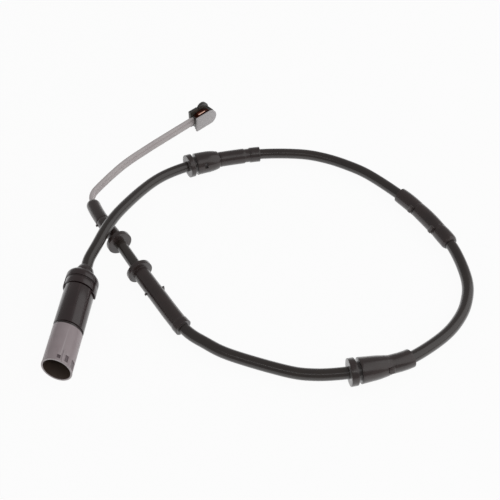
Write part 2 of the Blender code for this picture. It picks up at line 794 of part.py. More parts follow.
def make_seal(frame):
    """Ribbed rubber plug in the sleeve, with a hole for each core."""
    start = SHELL_LEN + SPIGOT_LEN + CLEAR
    lip_r = SPIGOT_D / 2
    root_r = lip_r - SEAL_LIP_H
    rib_count = 3
    pitch = SEAL_LEN / rib_count
    profile = [(0, start + SEAL_LEN)]
    for rib in range(rib_count - 1, -1, -1):
        low = start + rib * pitch
        profile += [(root_r, low + pitch), (lip_r, low + pitch * 0.5), (root_r, low)]
        if rib:
            profile.pop()
    profile.append((0, start))
    seal = turned("wire_seal", profile, "blue_seal", frame, SHELL_SIDES // 2)
    for index, side in enumerate(terminal_sides()):
        place = frame @ Matrix.Translation((side, 0, 0))
        ends = (start - OVERCUT, start + SEAL_LEN + OVERCUT)
        hole = rod(f"seal_hole_{index + 1}", WIRE_D / 2 + CLEAR, *ends, None, place)
        boolean(seal, hole, "DIFFERENCE")


def make_sleeve(frame):
    """Black sleeve over the spigot; its front edge overhangs the grey shell."""
    front = SHELL_LEN + CLEAR
    outer_r = SLEEVE_D / 2
    bore_r = SPIGOT_D / 2 + CLEAR
    profile = [
        (outer_r - EDGE_ROUND, sleeve_end()),
        (outer_r, sleeve_end() - EDGE_ROUND),
        (outer_r, front + EDGE_ROUND),
        (outer_r - EDGE_ROUND, front),
        (bore_r, front),
        (bore_r, sleeve_end()),
    ]
    turned("connector_sleeve", profile, "black_plastic", frame)


def make_cap(frame, bore):
    """Rear cap: spigot in the sleeve, band, dome and two prongs that reach forward."""
    band_from = sleeve_end() + CLEAR
    dome_from = band_from + CAP_BAND_LEN
    spigot_from = sleeve_end() - CAP_SPIGOT_LEN
    cap_r = CAP_D / 2
    room_r = BOOT_D / 2 + CLEAR
    hole_r = BOOT_NECK_D / 2 + CLEAR
    rear = cap_end()
    dome_start = dome_from + CAP_DOME_LEN * 0.35
    dome_steps = 4
    dome = []
    for i in range(dome_steps, 0, -1):
        angle = math.radians(90 * i / (dome_steps + 0.6))
        fall = cap_r - BOOT_D / 2 - EDGE_ROUND
        radius = cap_r - fall * (1 - math.cos(angle))
        dome.append((radius, dome_start + (rear - dome_start) * math.sin(angle)))
    profile = [
        (hole_r, rear),
        *dome,
        (cap_r, dome_start),
        (cap_r, dome_from + EDGE_ROUND),
        (CAP_BAND_D / 2, dome_from),
        (CAP_BAND_D / 2, band_from + EDGE_ROUND),
        (CAP_BAND_D / 2 - EDGE_ROUND, band_from),
        (SPIGOT_D / 2, band_from),
        (SPIGOT_D / 2, spigot_from),
        (room_r, spigot_from),
        (room_r, rear - CAP_WALL),
        (hole_r, rear - CAP_WALL),
    ]
    cap = turned("rear_cap", profile, "black_plastic", frame)
    prong_in = CAP_BAND_D / 2 - EDGE_ROUND
    prong_out = prong_in + PRONG_T
    prong_from = band_from - PRONG_REACH
    ring = [
        (prong_out, dome_from),
        (prong_out, prong_from + PRONG_T),
        (prong_in, prong_from),
        (prong_in, dome_from),
    ]
    prongs = turned("prong_ring", ring, None, frame)
    span = Matrix.Translation((0, 0, (prong_from + dome_from) / 2))
    slab = box("prong_slab", (CAP_D * 2, PRONG_W, CAP_D * 2), None, frame @ span)
    boolean(prongs, slab, "INTERSECT")
    boolean(cap, prongs, "UNION")
    boolean(cap, bore, "DIFFERENCE")


def make_boot(frame, bore):
    """Stepped rubber strain relief, held in the cap by its inner flange."""
    rear = cap_end()
    out_from = rear + CLEAR
    out_to = out_from + BOOT_LEN
    flange_to = rear - CAP_WALL - CLEAR
    profile = [
        (0, out_to),
        (BOOT_END_D / 2 - EDGE_ROUND / 2, out_to),
        (BOOT_END_D / 2, out_to - EDGE_ROUND),
        ((BOOT_D + BOOT_END_D) / 4, out_from + BOOT_LEN * 0.35),
        (BOOT_D / 2, out_from + EDGE_ROUND),
        (BOOT_D / 2, out_from),
        (BOOT_NECK_D / 2, out_from),
        (BOOT_NECK_D / 2, flange_to),
        (BOOT_D / 2, flange_to),
        (BOOT_D / 2, flange_to - BOOT_FLANGE_T),
        (0, flange_to - BOOT_FLANGE_T),
    ]
    boot = turned("cable_boot", profile, "black_rubber", frame)
    boolean(boot, bore, "DIFFERENCE")


def head_frame():
    """Frame of the sensor head: +X along the lead, +Y from the front plate to the rear."""
    turn = Matrix.Rotation(math.radians(HEAD_HEADING), 4, "Z")
    lead_tip = Vector(HARNESS_ROUTE[-1])
    local = Vector((LEAD_DEPTH_IN_HEAD, LEAD_FROM_FRONT, 0))
    corner = Vector((lead_tip.x, lead_tip.y, 0)) - turn.to_3x3() @ local
    return Matrix.Translation(corner) @ turn


def upright_slab(name, outline, front, rear, colour, frame):
    """A flat outline in (along, up) made solid from front to rear."""
    curve = bpy.data.curves.new(name, "CURVE")
    curve.dimensions = "2D"
    curve.fill_mode = "BOTH"
    curve.extrude = (rear - front) / 2
    spline = curve.splines.new("POLY")
    spline.points.add(len(outline) - 1)
    for point, (along, upright) in zip(spline.points, outline):
        point.co = (along, upright, 0, 1)
    spline.use_cyclic_u = True
    stand = Matrix.Rotation(math.radians(90), 4, "X")
    middle = Matrix.Translation((0, (front + rear) / 2, 0))
    item = bpy.data.objects.new(name, curve)
    bpy.data.collections[CUTTERS].objects.link(item)
    item.matrix_world = frame @ middle @ stand
    return as_mesh(item, colour)


def arc(centre, radius, start, end, steps):
    """Points of an arc in degrees, both ends included."""
    points = []
    for i in range(steps + 1):
        angle = math.radians(start + (end - start) * i / steps)
        points.append((centre[0] + radius * math.cos(angle), centre[1] + radius * math.sin(angle)))
    return points


def make_plate(frame):
    """Pale front plate with one round end, in front of the head body."""
    radius = PLATE_H / 2
    outline = [(0, PLATE_H), (0, 0)]
    outline += arc((HEAD_LEN - radius, radius), radius, -90, 90, 14)
    plate = upright_slab("wear_plate", outline, 0, PLATE_T, "pale_plastic", frame)
    edge = plate.modifiers.new("edge", "BEVEL")
    edge.width = EDGE_ROUND * 0.7
    edge.segments = 1
    edge.limit_method = "ANGLE"


def make_head_body(frame, route):
    """Dark body behind the plate: deck, rear wall with a round knob, lead bore and loop slot."""
    body_end = HEAD_LEN - BODY_SHORT_OF_PLATE
    nose = [(body_end - NOSE_RUN, 0), (body_end, NOSE_RISE), (body_end, DECK_H)]
    rear = HEAD_DEPTH - REAR_WALL_T / 2
    deck = [(DECK_FROM_ENTRY, DECK_H), (DECK_FROM_ENTRY, 0), *nose]
    body = upright_slab("head_body", deck, PLATE_T + CLEAR, rear, "black_plastic", frame)
    knob_middle = (KNOB_FROM_ENTRY, KNOB_TOP - KNOB_R)
    wall = [(REAR_WALL_FROM_ENTRY, REAR_WALL_H), (REAR_WALL_FROM_ENTRY, 0), *nose]
    wall += arc(knob_middle, KNOB_R, -5, 160, 12)
    wall += [(KNOB_FROM_ENTRY - KNOB_R, REAR_WALL_H)]
    wall_slab = upright_slab("rear_wall", wall, HEAD_DEPTH - REAR_WALL_T, HEAD_DEPTH, None, frame)
    boolean(body, wall_slab, "UNION")
    tip = route.length + CLEAR
    lead_bore = lead_tool("lead_bore", route, tip - 3 * LEAD_DEPTH_IN_HEAD, tip)
    boolean(body, lead_bore, "DIFFERENCE")
    slot_from = LEAD_DEPTH_IN_HEAD + CLEAR / 2
    slot_floor = lead_height() - LEAD_PITCH / 2 - CONDUCTOR_D / 2 - CLEAR
    slot_size = (LOOP_SLOT_LEN, CONDUCTOR_D + 2 * CLEAR, DECK_H)
    slot_middle = (slot_from + LOOP_SLOT_LEN / 2, LEAD_FROM_FRONT, slot_floor + DECK_H / 2)
    slot = box("loop_slot", slot_size, None, frame @ Matrix.Translation(slot_middle))
    boolean(body, slot, "DIFFERENCE")


def lead_height():
    """Height of the lead's middle where it enters the head."""
    return HARNESS_ROUTE[-1][2]


def make_wear_loop(frame):
    """Bare copper wire that turns back inside the head: the brake disc breaks it when worn."""
    bend_r = LEAD_PITCH / 2
    start = LEAD_DEPTH_IN_HEAD + 2 * CLEAR
    turn_at = start + LOOP_SLOT_LEN - 2 * LEAD_PITCH
    line = [(start, -bend_r)]
    line += arc((turn_at, 0), bend_r, -90, 90, 8)
    line += [(start, bend_r)]
    curve = bpy.data.curves.new("wear_loop", "CURVE")
    curve.dimensions = "3D"
    curve.bevel_depth = CONDUCTOR_D / 2
    curve.bevel_resolution = 1
    curve.use_fill_caps = True
    spline = curve.splines.new("POLY")
    spline.points.add(len(line) - 1)
    for point, (along, upright) in zip(spline.points, line):
        point.co = (along, 0, upright, 1)
    item = bpy.data.objects.new("wear_loop", curve)
    bpy.data.collections[CUTTERS].objects.link(item)
    item.matrix_world = frame @ Matrix.Translation((0, LEAD_FROM_FRONT, lead_height()))
    as_mesh(item, "copper")


def make_clip(frame):
    """Bent copper strip that lies over the loop slot, between the plate and the rear wall."""
    base = DECK_H + CLEAR
    end = CLIP_FROM_ENTRY + CLIP_LEN
    under = [
        (CLIP_FROM_ENTRY, base),
        (CLIP_FROM_ENTRY + CLIP_FOOT, base),
        (CLIP_FROM_ENTRY + 2 * CLIP_FOOT, base + CLIP_RISE),
        (end - 2 * CLIP_FOOT, base + CLIP_RISE),
        (end - CLIP_FOOT, base),
        (end, base),
    ]
    over = [(along, upright + CLIP_T) for along, upright in reversed(under)]
    front = PLATE_T + 2 * CLEAR
    rear = HEAD_DEPTH - REAR_WALL_T - CLEAR
    upright_slab("spring_clip", under + over, front, rear, "copper", frame)


def main():
    """Build every piece of the wear sensor."""
    clear_scene()
    route = Route(HARNESS_ROUTE)
    bore = bore_tool(route)
    plug = plug_frame()
    make_housing(plug)
    make_carrier(plug)
    make_terminals(plug)
    make_core_wires(plug)
    make_seal(plug)
    make_sleeve(plug)
    make_cap(plug, bore)
    make_boot(plug, bore)
    make_cable(route)
    make_grommet_1(route, bore)
    make_grommet_2(route, bore)
    make_grommet_3(route, bore)
    make_grommet_4(route, bore)
    make_grommet_5(route, bore)
    make_splices(route)
    make_lead(route)
    head = head_frame()
    make_head_body(head, route)
    make_plate(head)
    make_clip(head)
    make_wear_loop(head)


main()
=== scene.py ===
"""Brake pad wear sensor, dressed for a plain studio picture.

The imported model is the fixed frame. Each sub-assembly below is modelled again in finer form
at the place of its CAD node, and gets the finish of the real material. Lengths are metres.
"""

import logging
import math
from collections.abc import Callable, Iterable, Sequence
from dataclasses import dataclass
from enum import Enum

import bpy
from mathutils import Matrix, Vector


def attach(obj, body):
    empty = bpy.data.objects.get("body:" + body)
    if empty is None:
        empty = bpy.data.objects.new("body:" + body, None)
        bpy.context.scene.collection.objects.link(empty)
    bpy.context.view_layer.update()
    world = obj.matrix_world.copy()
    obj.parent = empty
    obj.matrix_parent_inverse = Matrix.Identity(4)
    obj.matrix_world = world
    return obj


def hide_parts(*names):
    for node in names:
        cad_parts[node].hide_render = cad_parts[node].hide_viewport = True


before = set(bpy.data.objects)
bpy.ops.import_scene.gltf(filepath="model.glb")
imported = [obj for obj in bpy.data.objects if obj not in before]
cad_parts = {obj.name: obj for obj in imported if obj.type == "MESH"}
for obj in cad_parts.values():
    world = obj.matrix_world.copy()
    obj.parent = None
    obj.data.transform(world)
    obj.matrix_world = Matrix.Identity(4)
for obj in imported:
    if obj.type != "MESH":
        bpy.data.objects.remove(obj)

log = logging.getLogger("wear_sensor")

Pair = tuple[float, float]
Point = tuple[float, float, float]
Piece = bpy.types.Object
Socket = bpy.types.NodeSocket

# Points along the middle of the harness, the same as in the part's source
HARNESS_ROUTE: list[Point] = [
    (-0.0736, -0.0365, 0.00896),
    (-0.0727, -0.0292, 0.00949),
    (-0.0721, -0.0236, 0.00990),
    (-0.0697, -0.0162, 0.01030),
    (-0.0664, -0.0059, 0.01065),
    (-0.0620, 0.0046, 0.00980),
    (-0.0536, 0.0196, 0.00765),
    (-0.0455, 0.0294, 0.00640),
    (-0.0346, 0.0367, 0.00558),
    (-0.0236, 0.0409, 0.00515),
    (-0.0115, 0.0446, 0.00440),
    (0.0021, 0.0476, 0.00365),
    (0.0188, 0.0478, 0.00320),
    (0.0300, 0.0452, 0.00310),
    (0.0405, 0.0401, 0.00320),
    (0.0502, 0.0332, 0.00340),
    (0.0626, 0.0201, 0.00365),
    (0.0705, 0.0096, 0.00365),
    (0.0768, -0.0013, 0.00365),
    (0.0821, -0.0132, 0.00360),
    (0.0845, -0.0295, 0.00340),
    (0.0821, -0.0413, 0.00345),
    (0.0767, -0.0510, 0.00375),
    (0.0689, -0.0593, 0.00415),
    (0.0564, -0.0683, 0.00490),
    (0.0468, -0.0720, 0.00525),
    (0.0366, -0.0744, 0.00545),
    (0.0288, -0.0758, 0.00535),
    (0.0184, -0.0757, 0.00435),
    (0.0080, -0.0736, 0.00360),
    (-0.0126, -0.0664, 0.00325),
    (-0.0226, -0.0610, 0.00345),
    (-0.0318, -0.0539, 0.00380),
    (-0.0440, -0.0372, 0.00485),
    (-0.0514, -0.0265, 0.00542),
    (-0.0618, -0.0103, 0.00542),
    (-0.0709, 0.0034, 0.00445),
    (-0.0763, 0.0138, 0.00345),
    (-0.0775, 0.0200, 0.00290),
    (-0.0752, 0.0262, 0.00250),
    (-0.0660, 0.0407, 0.00225),
    (-0.0554, 0.0523, 0.00240),
    (-0.0423, 0.0640, 0.00350),
    (-0.0348, 0.0705, 0.00420),
    (-0.0316, 0.0736, 0.00420),
]

# Stations of the grommets and splice along the route, as in the part's source
GROMMET_1_AT = 0.0862
GROMMET_2_AT = 0.1944
GROMMET_3_AT = 0.3262
GROMMET_4_AT = 0.4298
GROMMET_5_AT = 0.4468
CABLE_END_AT = GROMMET_5_AT + 0.0140
LEAD_START_AT = CABLE_END_AT + 0.0048

# Thickness of the cable and of the lead's two cores, and the distance between the cores
CABLE_D = 0.0048
CORE_D = 0.0021
CORE_PITCH = 0.0018

# The beads of grommet 2 start this much further along than in the part's source
GROMMET_2_SHIFT = 0.0008

# Ranges that are stretched over a whole change of colour: two of noise, which lies round one
# half, and one of the edge measure, which is one half on a flat face and more on an edge
PATCH_RANGE: Pair = (0.35, 0.65)
TARNISH_RANGE: Pair = (0.42, 0.60)
EDGE_RANGE: Pair = (0.52, 0.60)

WHITE = (1.0, 1.0, 1.0, 1.0)
MM_PER_M = 1000.0


class Join(Enum):
    """How a tool shape changes the piece it meets."""

    CUT = "DIFFERENCE"
    ADD = "UNION"
    KEEP_SHARED = "INTERSECT"


class Shape(Enum):
    """Primitives that a detail can start from."""

    BLOCK = "block"
    ROD = "rod"


def from_hex(code: str) -> tuple[float, float, float, float]:
    """Turn an sRGB hex colour into a linear colour.

    Args:
        code: Six hex digits after a #.

    Returns:
        Red, green, blue and alpha, linear.
    """
    parts = []
    for start in (1, 3, 5):
        value = int(code[start : start + 2], 16) / 255
        parts.append(value / 12.92 if value <= 0.04045 else ((value + 0.055) / 1.055) ** 2.4)
    return (parts[0], parts[1], parts[2], 1.0)


def fill_in(tree: bpy.types.NodeTree, node: bpy.types.Node, inputs: dict) -> None:
    """Give a node its values and links.

    Args:
        tree: The node tree that holds it.
        node: The node.
        inputs: A value or an output socket for each named or numbered input.
    """
    for key, value in inputs.items():
        if isinstance(value, Socket):
            tree.links.new(value, node.inputs[key])
        else:
            node.inputs[key].default_value = value


def add_node(
    tree: bpy.types.NodeTree, kind: str, inputs: dict, **settings: object
) -> bpy.types.Node:
    """Add one node with its settings, values and links.

    Args:
        tree: The material's or the world's node tree.
        kind: The name of the node's type, without the ShaderNode before it.
        inputs: A value or an output socket for each named or numbered input.
        settings: Properties of the node itself.

    Returns:
        The new node.
    """
    node = tree.nodes.new(f"ShaderNode{kind}")
    for name, value in settings.items():
        setattr(node, name, value)
    fill_in(tree, node, inputs)
    return node


class Paint:
    """A new material, with the few steps that every finish is made of."""

    def __init__(self, name: str) -> None:
        """Start the material.

        Args:
            name: The material's name.
        """
        self.material = bpy.data.materials.new(name)
        self.material.use_nodes = True
        self.tree = self.material.node_tree
        coords = add_node(self.tree, "TexCoord", {})
        self.place = coords.outputs["Object"]
        self.unrolled = coords.outputs["UV"]

    def noise(self, place: Socket, size_mm: float, levels: float, rough: float = 0.5) -> Socket:
        """Noise in patches of that size, with finer levels that are each weaker by rough."""
        inputs = {"Vector": place, "Scale": MM_PER_M / size_mm, "Detail": levels}
        inputs["Roughness"] = rough
        return add_node(self.tree, "TexNoise", inputs).outputs["Fac"]

    def ranged(self, value: Socket, source: Pair, target: Pair = (0.0, 1.0)) -> Socket:
        """Stretch the source range of a value over the target range, and hold it there."""
        inputs = {"Value": value, "From Min": source[0], "From Max": source[1]}
        inputs |= {"To Min": target[0], "To Max": target[1]}
        return add_node(self.tree, "MapRange", inputs).outputs["Result"]

    def over(self, share: Socket, below: Socket | str, code: str) -> Socket:
        """Lay a hex colour over a colour by a share."""
        under = from_hex(below) if isinstance(below, str) else below
        inputs = {0: share, 6: under, 7: from_hex(code)}
        return add_node(self.tree, "Mix", inputs, data_type="RGBA").outputs[2]

    def stretched(self, place: Socket, scale: Point) -> Socket:
        """A place scaled along each axis."""
        return add_node(self.tree, "Mapping", {"Vector": place, "Scale": scale}).outputs["Vector"]

    def relief(self, height: Socket, strength: float, depth_mm: float) -> Socket:
        """A surface direction that follows a fine relief."""
        inputs = {"Height": height, "Strength": strength, "Distance": depth_mm / MM_PER_M}
        return add_node(self.tree, "Bump", inputs).outputs["Normal"]


@dataclass(frozen=True, kw_only=True)
class Finish:
    """What all finishes share: two colours in patches, a roughness and a fine relief.

    Sizes that end in mm are those of one patch or grain and of the relief's depth. Each of the
    areas is a face attribute and the colour of the faces that it marks; these colours are painted
    shade and painted highlights.
    """

    name: str
    colour: str
    patch: str
    roughness: float
    patch_mm: float
    grain_mm: float
    grain_depth_mm: float
    areas: tuple[tuple[str, str], ...] = ()

    def surface(self, paint: Paint) -> dict:
        """The shader's inputs; each kind of finish has its own."""
        raise NotImplementedError

    def material(self) -> bpy.types.Material:
        """Build the material, or return it where it was built before.

        Returns:
            The finish as a node material.
        """
        known = bpy.data.materials.get(self.name)
        if known is not None:
            return known
        paint = Paint(self.name)
        inputs = self.surface(paint)
        for area, code in self.areas:
            marked = add_node(paint.tree, "Attribute", {}, attribute_name=area).outputs["Fac"]
            inputs["Base Color"] = paint.over(marked, inputs["Base Color"], code)
        fill_in(paint.tree, paint.tree.nodes["Principled BSDF"], inputs)
        return paint.material


@dataclass(frozen=True, kw_only=True)
class Polymer(Finish):
    """What plastic, rubber and vinyl share.

    The roughness swings a little from patch to patch. The skin is a shiny layer on top, and the
    bloom a dull film that pales the surface where it is seen from the side.
    """

    ior: float = 1.50
    swing: float = 0.06
    skin: float = 0.0
    skin_roughness: float = 0.16
    bloom: float = 0.0
    bloom_roughness: float = 0.4

    def shine(self, paint: Paint, patches: Socket) -> dict:
        """The shader's inputs that say how it shines."""
        swung = (self.roughness - self.swing, self.roughness + self.swing)
        return {
            "Roughness": paint.ranged(patches, PATCH_RANGE, swung),
            "IOR": self.ior,
            "Sheen Weight": self.bloom,
            "Sheen Roughness": self.bloom_roughness,
            "Coat Weight": self.skin,
            "Coat Roughness": self.skin_roughness,
        }


@dataclass(frozen=True, kw_only=True)
class Moulded(Polymer):
    """Plastic or rubber as it comes from the mould: faint patches, a fine grain, worn edges."""

    worn: str
    patch_mm: float = 6.0
    grain_mm: float = 0.25
    grain_depth_mm: float = 0.005
    wear: float = 0.6

    def surface(self, paint: Paint) -> dict:
        """The shader's inputs, with the worn colour over sharp edges."""
        patches = paint.noise(paint.place, self.patch_mm, 4.0, 0.6)
        body = paint.over(paint.ranged(patches, PATCH_RANGE), self.colour, self.patch)
        edges = add_node(paint.tree, "NewGeometry", {}).outputs["Pointiness"]
        rubbed = paint.ranged(edges, EDGE_RANGE, (0.0, self.wear))
        grain = paint.noise(paint.place, self.grain_mm, 2.0)
        return {
            "Base Color": paint.over(rubbed, body, self.worn),
            "Normal": paint.relief(grain, 0.5, self.grain_depth_mm),
            **self.shine(paint, patches),
        }


@dataclass(frozen=True, kw_only=True)
class Extruded(Polymer):
    """Wire jacket as it leaves the die: fine lines along the run and slow changes of sheen.

    The run is its length and around_mm the way round its section, because the lines follow the
    piece's own UV map. Each line is as many times longer than wide as line_stretch says.
    """

    run_m: float
    around_mm: float
    ior: float = 1.52
    swing: float = 0.05
    skin_roughness: float = 0.12
    patch_mm: float = 14.0
    grain_mm: float = 0.30
    grain_depth_mm: float = 0.010
    line_stretch: float = 40.0

    def surface(self, paint: Paint) -> dict:
        """The shader's inputs, with lines instead of grain."""
        patches = paint.noise(paint.place, self.patch_mm, 5.0)
        spread = paint.ranged(patches, PATCH_RANGE)
        across = self.around_mm / self.grain_mm
        along = self.run_m * MM_PER_M / (self.grain_mm * self.line_stretch)
        # The stretch alone sets the size here, so the noise has one patch per unit
        unrolled = paint.stretched(paint.unrolled, (across, along, 1.0))
        lines = paint.noise(unrolled, MM_PER_M, 2.0)
        return {
            "Base Color": paint.over(spread, self.colour, self.patch),
            "Normal": paint.relief(lines, 0.4, self.grain_depth_mm),
            **self.shine(paint, patches),
        }


@dataclass(frozen=True, kw_only=True)
class Metal(Finish):
    """Rolled or plated metal with a thin tarnish in patches, rougher there by dulling."""

    patch_mm: float = 1.6
    grain_mm: float = 0.12
    grain_depth_mm: float = 0.004
    dulling: float = 0.18

    def surface(self, paint: Paint) -> dict:
        """The shader's inputs, with scratches instead of grain."""
        patches = paint.noise(paint.place, self.patch_mm, 5.0)
        spread = paint.ranged(patches, TARNISH_RANGE)
        dulled = (self.roughness, self.roughness + self.dulling)
        drawn = paint.stretched(paint.place, (1.0, 1.0, 0.1))
        scratches = paint.noise(drawn, self.grain_mm, 2.0)
        return {
            "Base Color": paint.over(spread, self.colour, self.patch),
            "Roughness": paint.ranged(spread, (0.0, 1.0), dulled),
            "Normal": paint.relief(scratches, 0.4, self.grain_depth_mm),
            "Metallic": 1.0,
        }


# Thermoplastic rubber of the grommets and the boot: brownish black with a dry satin skin
RUBBER = Moulded(
    name="moulded_black_rubber",
    colour="#2a1b19",
    patch="#32211e",
    worn="#41312e",
    roughness=0.34,
    skin=0.7,
    bloom=0.35,
)
# Glass-filled nylon of the sleeve and cap: near black, smoother than the rubber
NYLON = Moulded(
    name="moulded_black_nylon",
    colour="#2a191a",
    patch="#311f20",
    worn="#443435",
    roughness=0.30,
    skin=0.7,
    grain_mm=0.18,
    grain_depth_mm=0.003,
)
# Grey polyester of the plug shell: warm mid grey, smooth, with a faint flow pattern
SHELL_POLYESTER = Moulded(
    name="moulded_grey_polyester",
    colour="#afa1a4",
    patch="#b6a8ab",
    worn="#d6cdce",
    roughness=0.34,
    ior=1.55,
    # Painted highlight: the rim's front face is paled
    # Painted shade: the latch notch's floor and walls are darkened
    # Painted shade: the socket's inside walls and floor are darkened
    areas=(("socket_shade", "#54473f"), ("rim", "#d3cacb"), ("notch", "#74666a")),
    patch_mm=5.0,
    grain_mm=0.20,
    grain_depth_mm=0.006,
)
# Pale grey heat-proof plastic of the head's plate, slightly chalky
PLATE_PLASTIC = Moulded(
    name="moulded_pale_grey_plastic",
    colour="#d5d1d3",
    patch="#dbd7d7",
    worn="#dcd8d6",
    roughness=0.45,
    patch_mm=3.0,
    grain_mm=0.15,
    grain_depth_mm=0.006,
)
# Dark heat-proof plastic of the head's body, greenish black
HEAD_PLASTIC = Moulded(
    name="moulded_dark_head_plastic",
    colour="#292723",
    patch="#322f2b",
    worn="#57544c",
    roughness=0.40,
    skin=0.8,
    patch_mm=2.5,
    grain_mm=0.15,
    grain_depth_mm=0.006,
)
# Silicone wire seal, only seen down the socket and in cut views
SEAL_SILICONE = Moulded(
    name="moulded_blue_silicone",
    colour="#5a6b8c",
    patch="#64769a",
    worn="#7f8fb0",
    roughness=0.50,
)
# Black soft vinyl jacket of the cable: satin, with a thin bright line under a lamp
JACKET_VINYL = Extruded(
    name="extruded_black_vinyl",
    colour="#251b17",
    patch="#2d221c",
    roughness=0.26,
    skin=0.7,
    bloom=0.35,
    run_m=0.4608,
    around_mm=15.1,
    ior=1.50,
    grain_depth_mm=0.0015,
)
# Grey heat-proof insulation of the lead: pale, smooth and slightly translucent
LEAD_INSULATION = Extruded(
    name="extruded_grey_insulation",
    colour="#d8cfcf",
    patch="#dfd7d6",
    roughness=0.40,
    run_m=0.0886,
    around_mm=11.0,
    grain_mm=0.25,
    grain_depth_mm=0.0015,
    patch_mm=8.0,
)
# Same insulation on the hidden cores, which have no UV map
CORE_INSULATION = Moulded(
    name="extruded_grey_core",
    colour="#989290",
    patch="#a29c9a",
    worn="#b5b0ae",
    roughness=0.40,
)
# Copper alloy strip of the clip, browned by heat; the top of its bead has a pale painted highlight
CLIP_COPPER = Metal(
    name="rolled_copper_strip",
    colour="#7c4030",
    patch="#38180f",
    roughness=0.24,
    areas=(("bead_highlight", "#f0c3b0"),),
)
# Tin plating of the terminals and crimps
TIN_PLATE = Metal(
    name="tin_plated_brass",
    colour="#b9b2a0",
    patch="#8f8878",
    roughness=0.28,
)


def pick(piece: Piece) -> None:
    """Select one object alone and make it the active one."""
    bpy.ops.object.select_all(action="DESELECT")
    piece.select_set(True)
    bpy.context.view_layer.objects.active = piece


def apply_modifier(piece: Piece, modifier: bpy.types.Modifier) -> None:
    """Bake one modifier into the piece's mesh."""
    pick(piece)
    bpy.ops.object.modifier_apply(modifier=modifier.name)


def close_up() -> None:
    """Merge what lies double in the edited mesh, turn its faces out and leave edit mode."""
    bpy.ops.mesh.select_all(action="SELECT")
    bpy.ops.mesh.remove_doubles(threshold=1e-6)
    bpy.ops.mesh.normals_make_consistent(inside=False)
    bpy.ops.object.mode_set(mode="OBJECT")


def lathe(name: str, rings: Sequence[Pair], sides: int = 64) -> Piece:
    """Draw a closed tube by extruding a circle from ring to ring along +Z.

    Args:
        name: The new object's name.
        rings: Height and radius of each ring, out along the outside and back along the bore.
            The last ring lies on the first.
        sides: Faces round the tube.

    Returns:
        The new mesh object, with its faces pointing out.
    """
    height, radius = rings[0]
    bpy.ops.mesh.primitive_circle_add(
        vertices=sides, radius=radius, fill_type="NOTHING", location=(0, 0, height)
    )
    piece = bpy.context.object
    piece.name = name
    bpy.ops.object.transform_apply(location=True, rotation=False, scale=False)
    bpy.ops.object.mode_set(mode="EDIT")
    bpy.ops.mesh.select_all(action="SELECT")
    for next_height, next_radius in rings[1:]:
        rise = next_height - height
        bpy.ops.mesh.extrude_region_move(TRANSFORM_OT_translate={"value": (0, 0, rise)})
        if abs(next_radius - radius) > 1e-9:
            growth = next_radius / radius
            middle = (0, 0, next_height)
            bpy.ops.transform.resize(value=(growth, growth, 1), center_override=middle)
        height, radius = next_height, next_radius
    close_up()
    return piece


def tube_rings(outline: Sequence[Pair], bore_d: float, step: float | None = None) -> list[Pair]:
    """Turn an outside outline in diameters into the rings of a bored body.

    Args:
        outline: Distance and diameter of each corner of the outside.
        bore_d: Diameter of the bore.
        step: Longest stretch without a ring, for a body that is bent later.

    Returns:
        Height and radius of each ring, out along the outside and back along the bore.
    """
    first, last = outline[0][0], outline[-1][0]
    corners = [(first, bore_d), *outline, (last, bore_d), (first, bore_d)]
    rings = [(corners[0][0], corners[0][1] / 2)]
    for (near, near_d), (far, far_d) in zip(corners, corners[1:]):
        count = 1 if step is None else max(1, math.ceil(abs(far - near) / step))
        for i in range(1, count + 1):
            share = i / count
            rings.append((near + (far - near) * share, (near_d + (far_d - near_d) * share) / 2))
    return rings


def stepped(start: float, steps: Iterable[Pair]) -> list[Pair]:
    """Turn steps of one diameter each into the corners of an outline.

    Args:
        start: Distance of the first corner.
        steps: Length and diameter of each step.

    Returns:
        Distance and diameter of each corner.
    """
    corners = []
    for length, width in steps:
        corners += [(start, width), (start + length, width)]
        start += length
    return corners


def soften(piece: Piece, width: float, segments: int = 3, angle: float = 24.0) -> None:
    """Round the piece's sharp edges.

    Args:
        piece: The mesh object.
        width: Width of the rounding.
        segments: Faces across the rounding.
        angle: Sharpest turn, in degrees, that stays as it is.
    """
    edge = piece.modifiers.new("edges", "BEVEL")
    edge.width = width
    edge.segments = segments
    edge.limit_method = "ANGLE"
    edge.angle_limit = math.radians(angle)
    apply_modifier(piece, edge)


def combine(piece: Piece, tool: Piece, how: Join) -> None:
    """Cut, add or keep with a tool shape, and remove the tool.

    Args:
        piece: The mesh object that stays.
        tool: The closed shape that acts on it.
        how: What the tool does.
    """
    step = piece.modifiers.new("shape", "BOOLEAN")
    step.operation = how.value
    step.solver = "EXACT"
    step.object = tool
    apply_modifier(piece, step)
    bpy.data.objects.remove(tool, do_unlink=True)


def put(piece: Piece, place: Matrix) -> None:
    """Move a piece to its place and write that place into its mesh."""
    piece.matrix_world = place @ piece.matrix_world
    pick(piece)
    bpy.ops.object.transform_apply(location=True, rotation=True, scale=True)


def detail(size: Point, place: Matrix, rounding: float = 0.0, shape: Shape = Shape.BLOCK) -> Piece:
    """Make a small block or rod with rounded edges at a place.

    Args:
        size: Lengths along the place's own axes. A rod runs along its Z.
        place: The frame of its middle.
        rounding: Width of its rounded edges.
        shape: Which primitive it starts from.

    Returns:
        The new mesh object.
    """
    if shape is Shape.BLOCK:
        bpy.ops.mesh.primitive_cube_add(size=1.0)
    else:
        bpy.ops.mesh.primitive_cylinder_add(vertices=32, radius=0.5, depth=1.0)
    piece = bpy.context.object
    piece.scale = size
    bpy.ops.object.transform_apply(location=False, rotation=False, scale=True)
    if rounding:
        soften(piece, rounding, 3, 40)
    put(piece, place)
    return piece


def mark(piece: Piece, area: str, belongs: Callable[[Vector], bool]) -> None:
    """Mark the faces of an area that gets its own colour, a painted shade or highlight.

    Args:
        piece: The mesh object.
        area: The name of the face attribute.
        belongs: Tells from a face's middle whether it lies in the area.
    """
    marks = piece.data.attributes.new(area, "FLOAT", "FACE")
    for polygon in piece.data.polygons:
        marks.data[polygon.index].value = float(belongs(polygon.center))


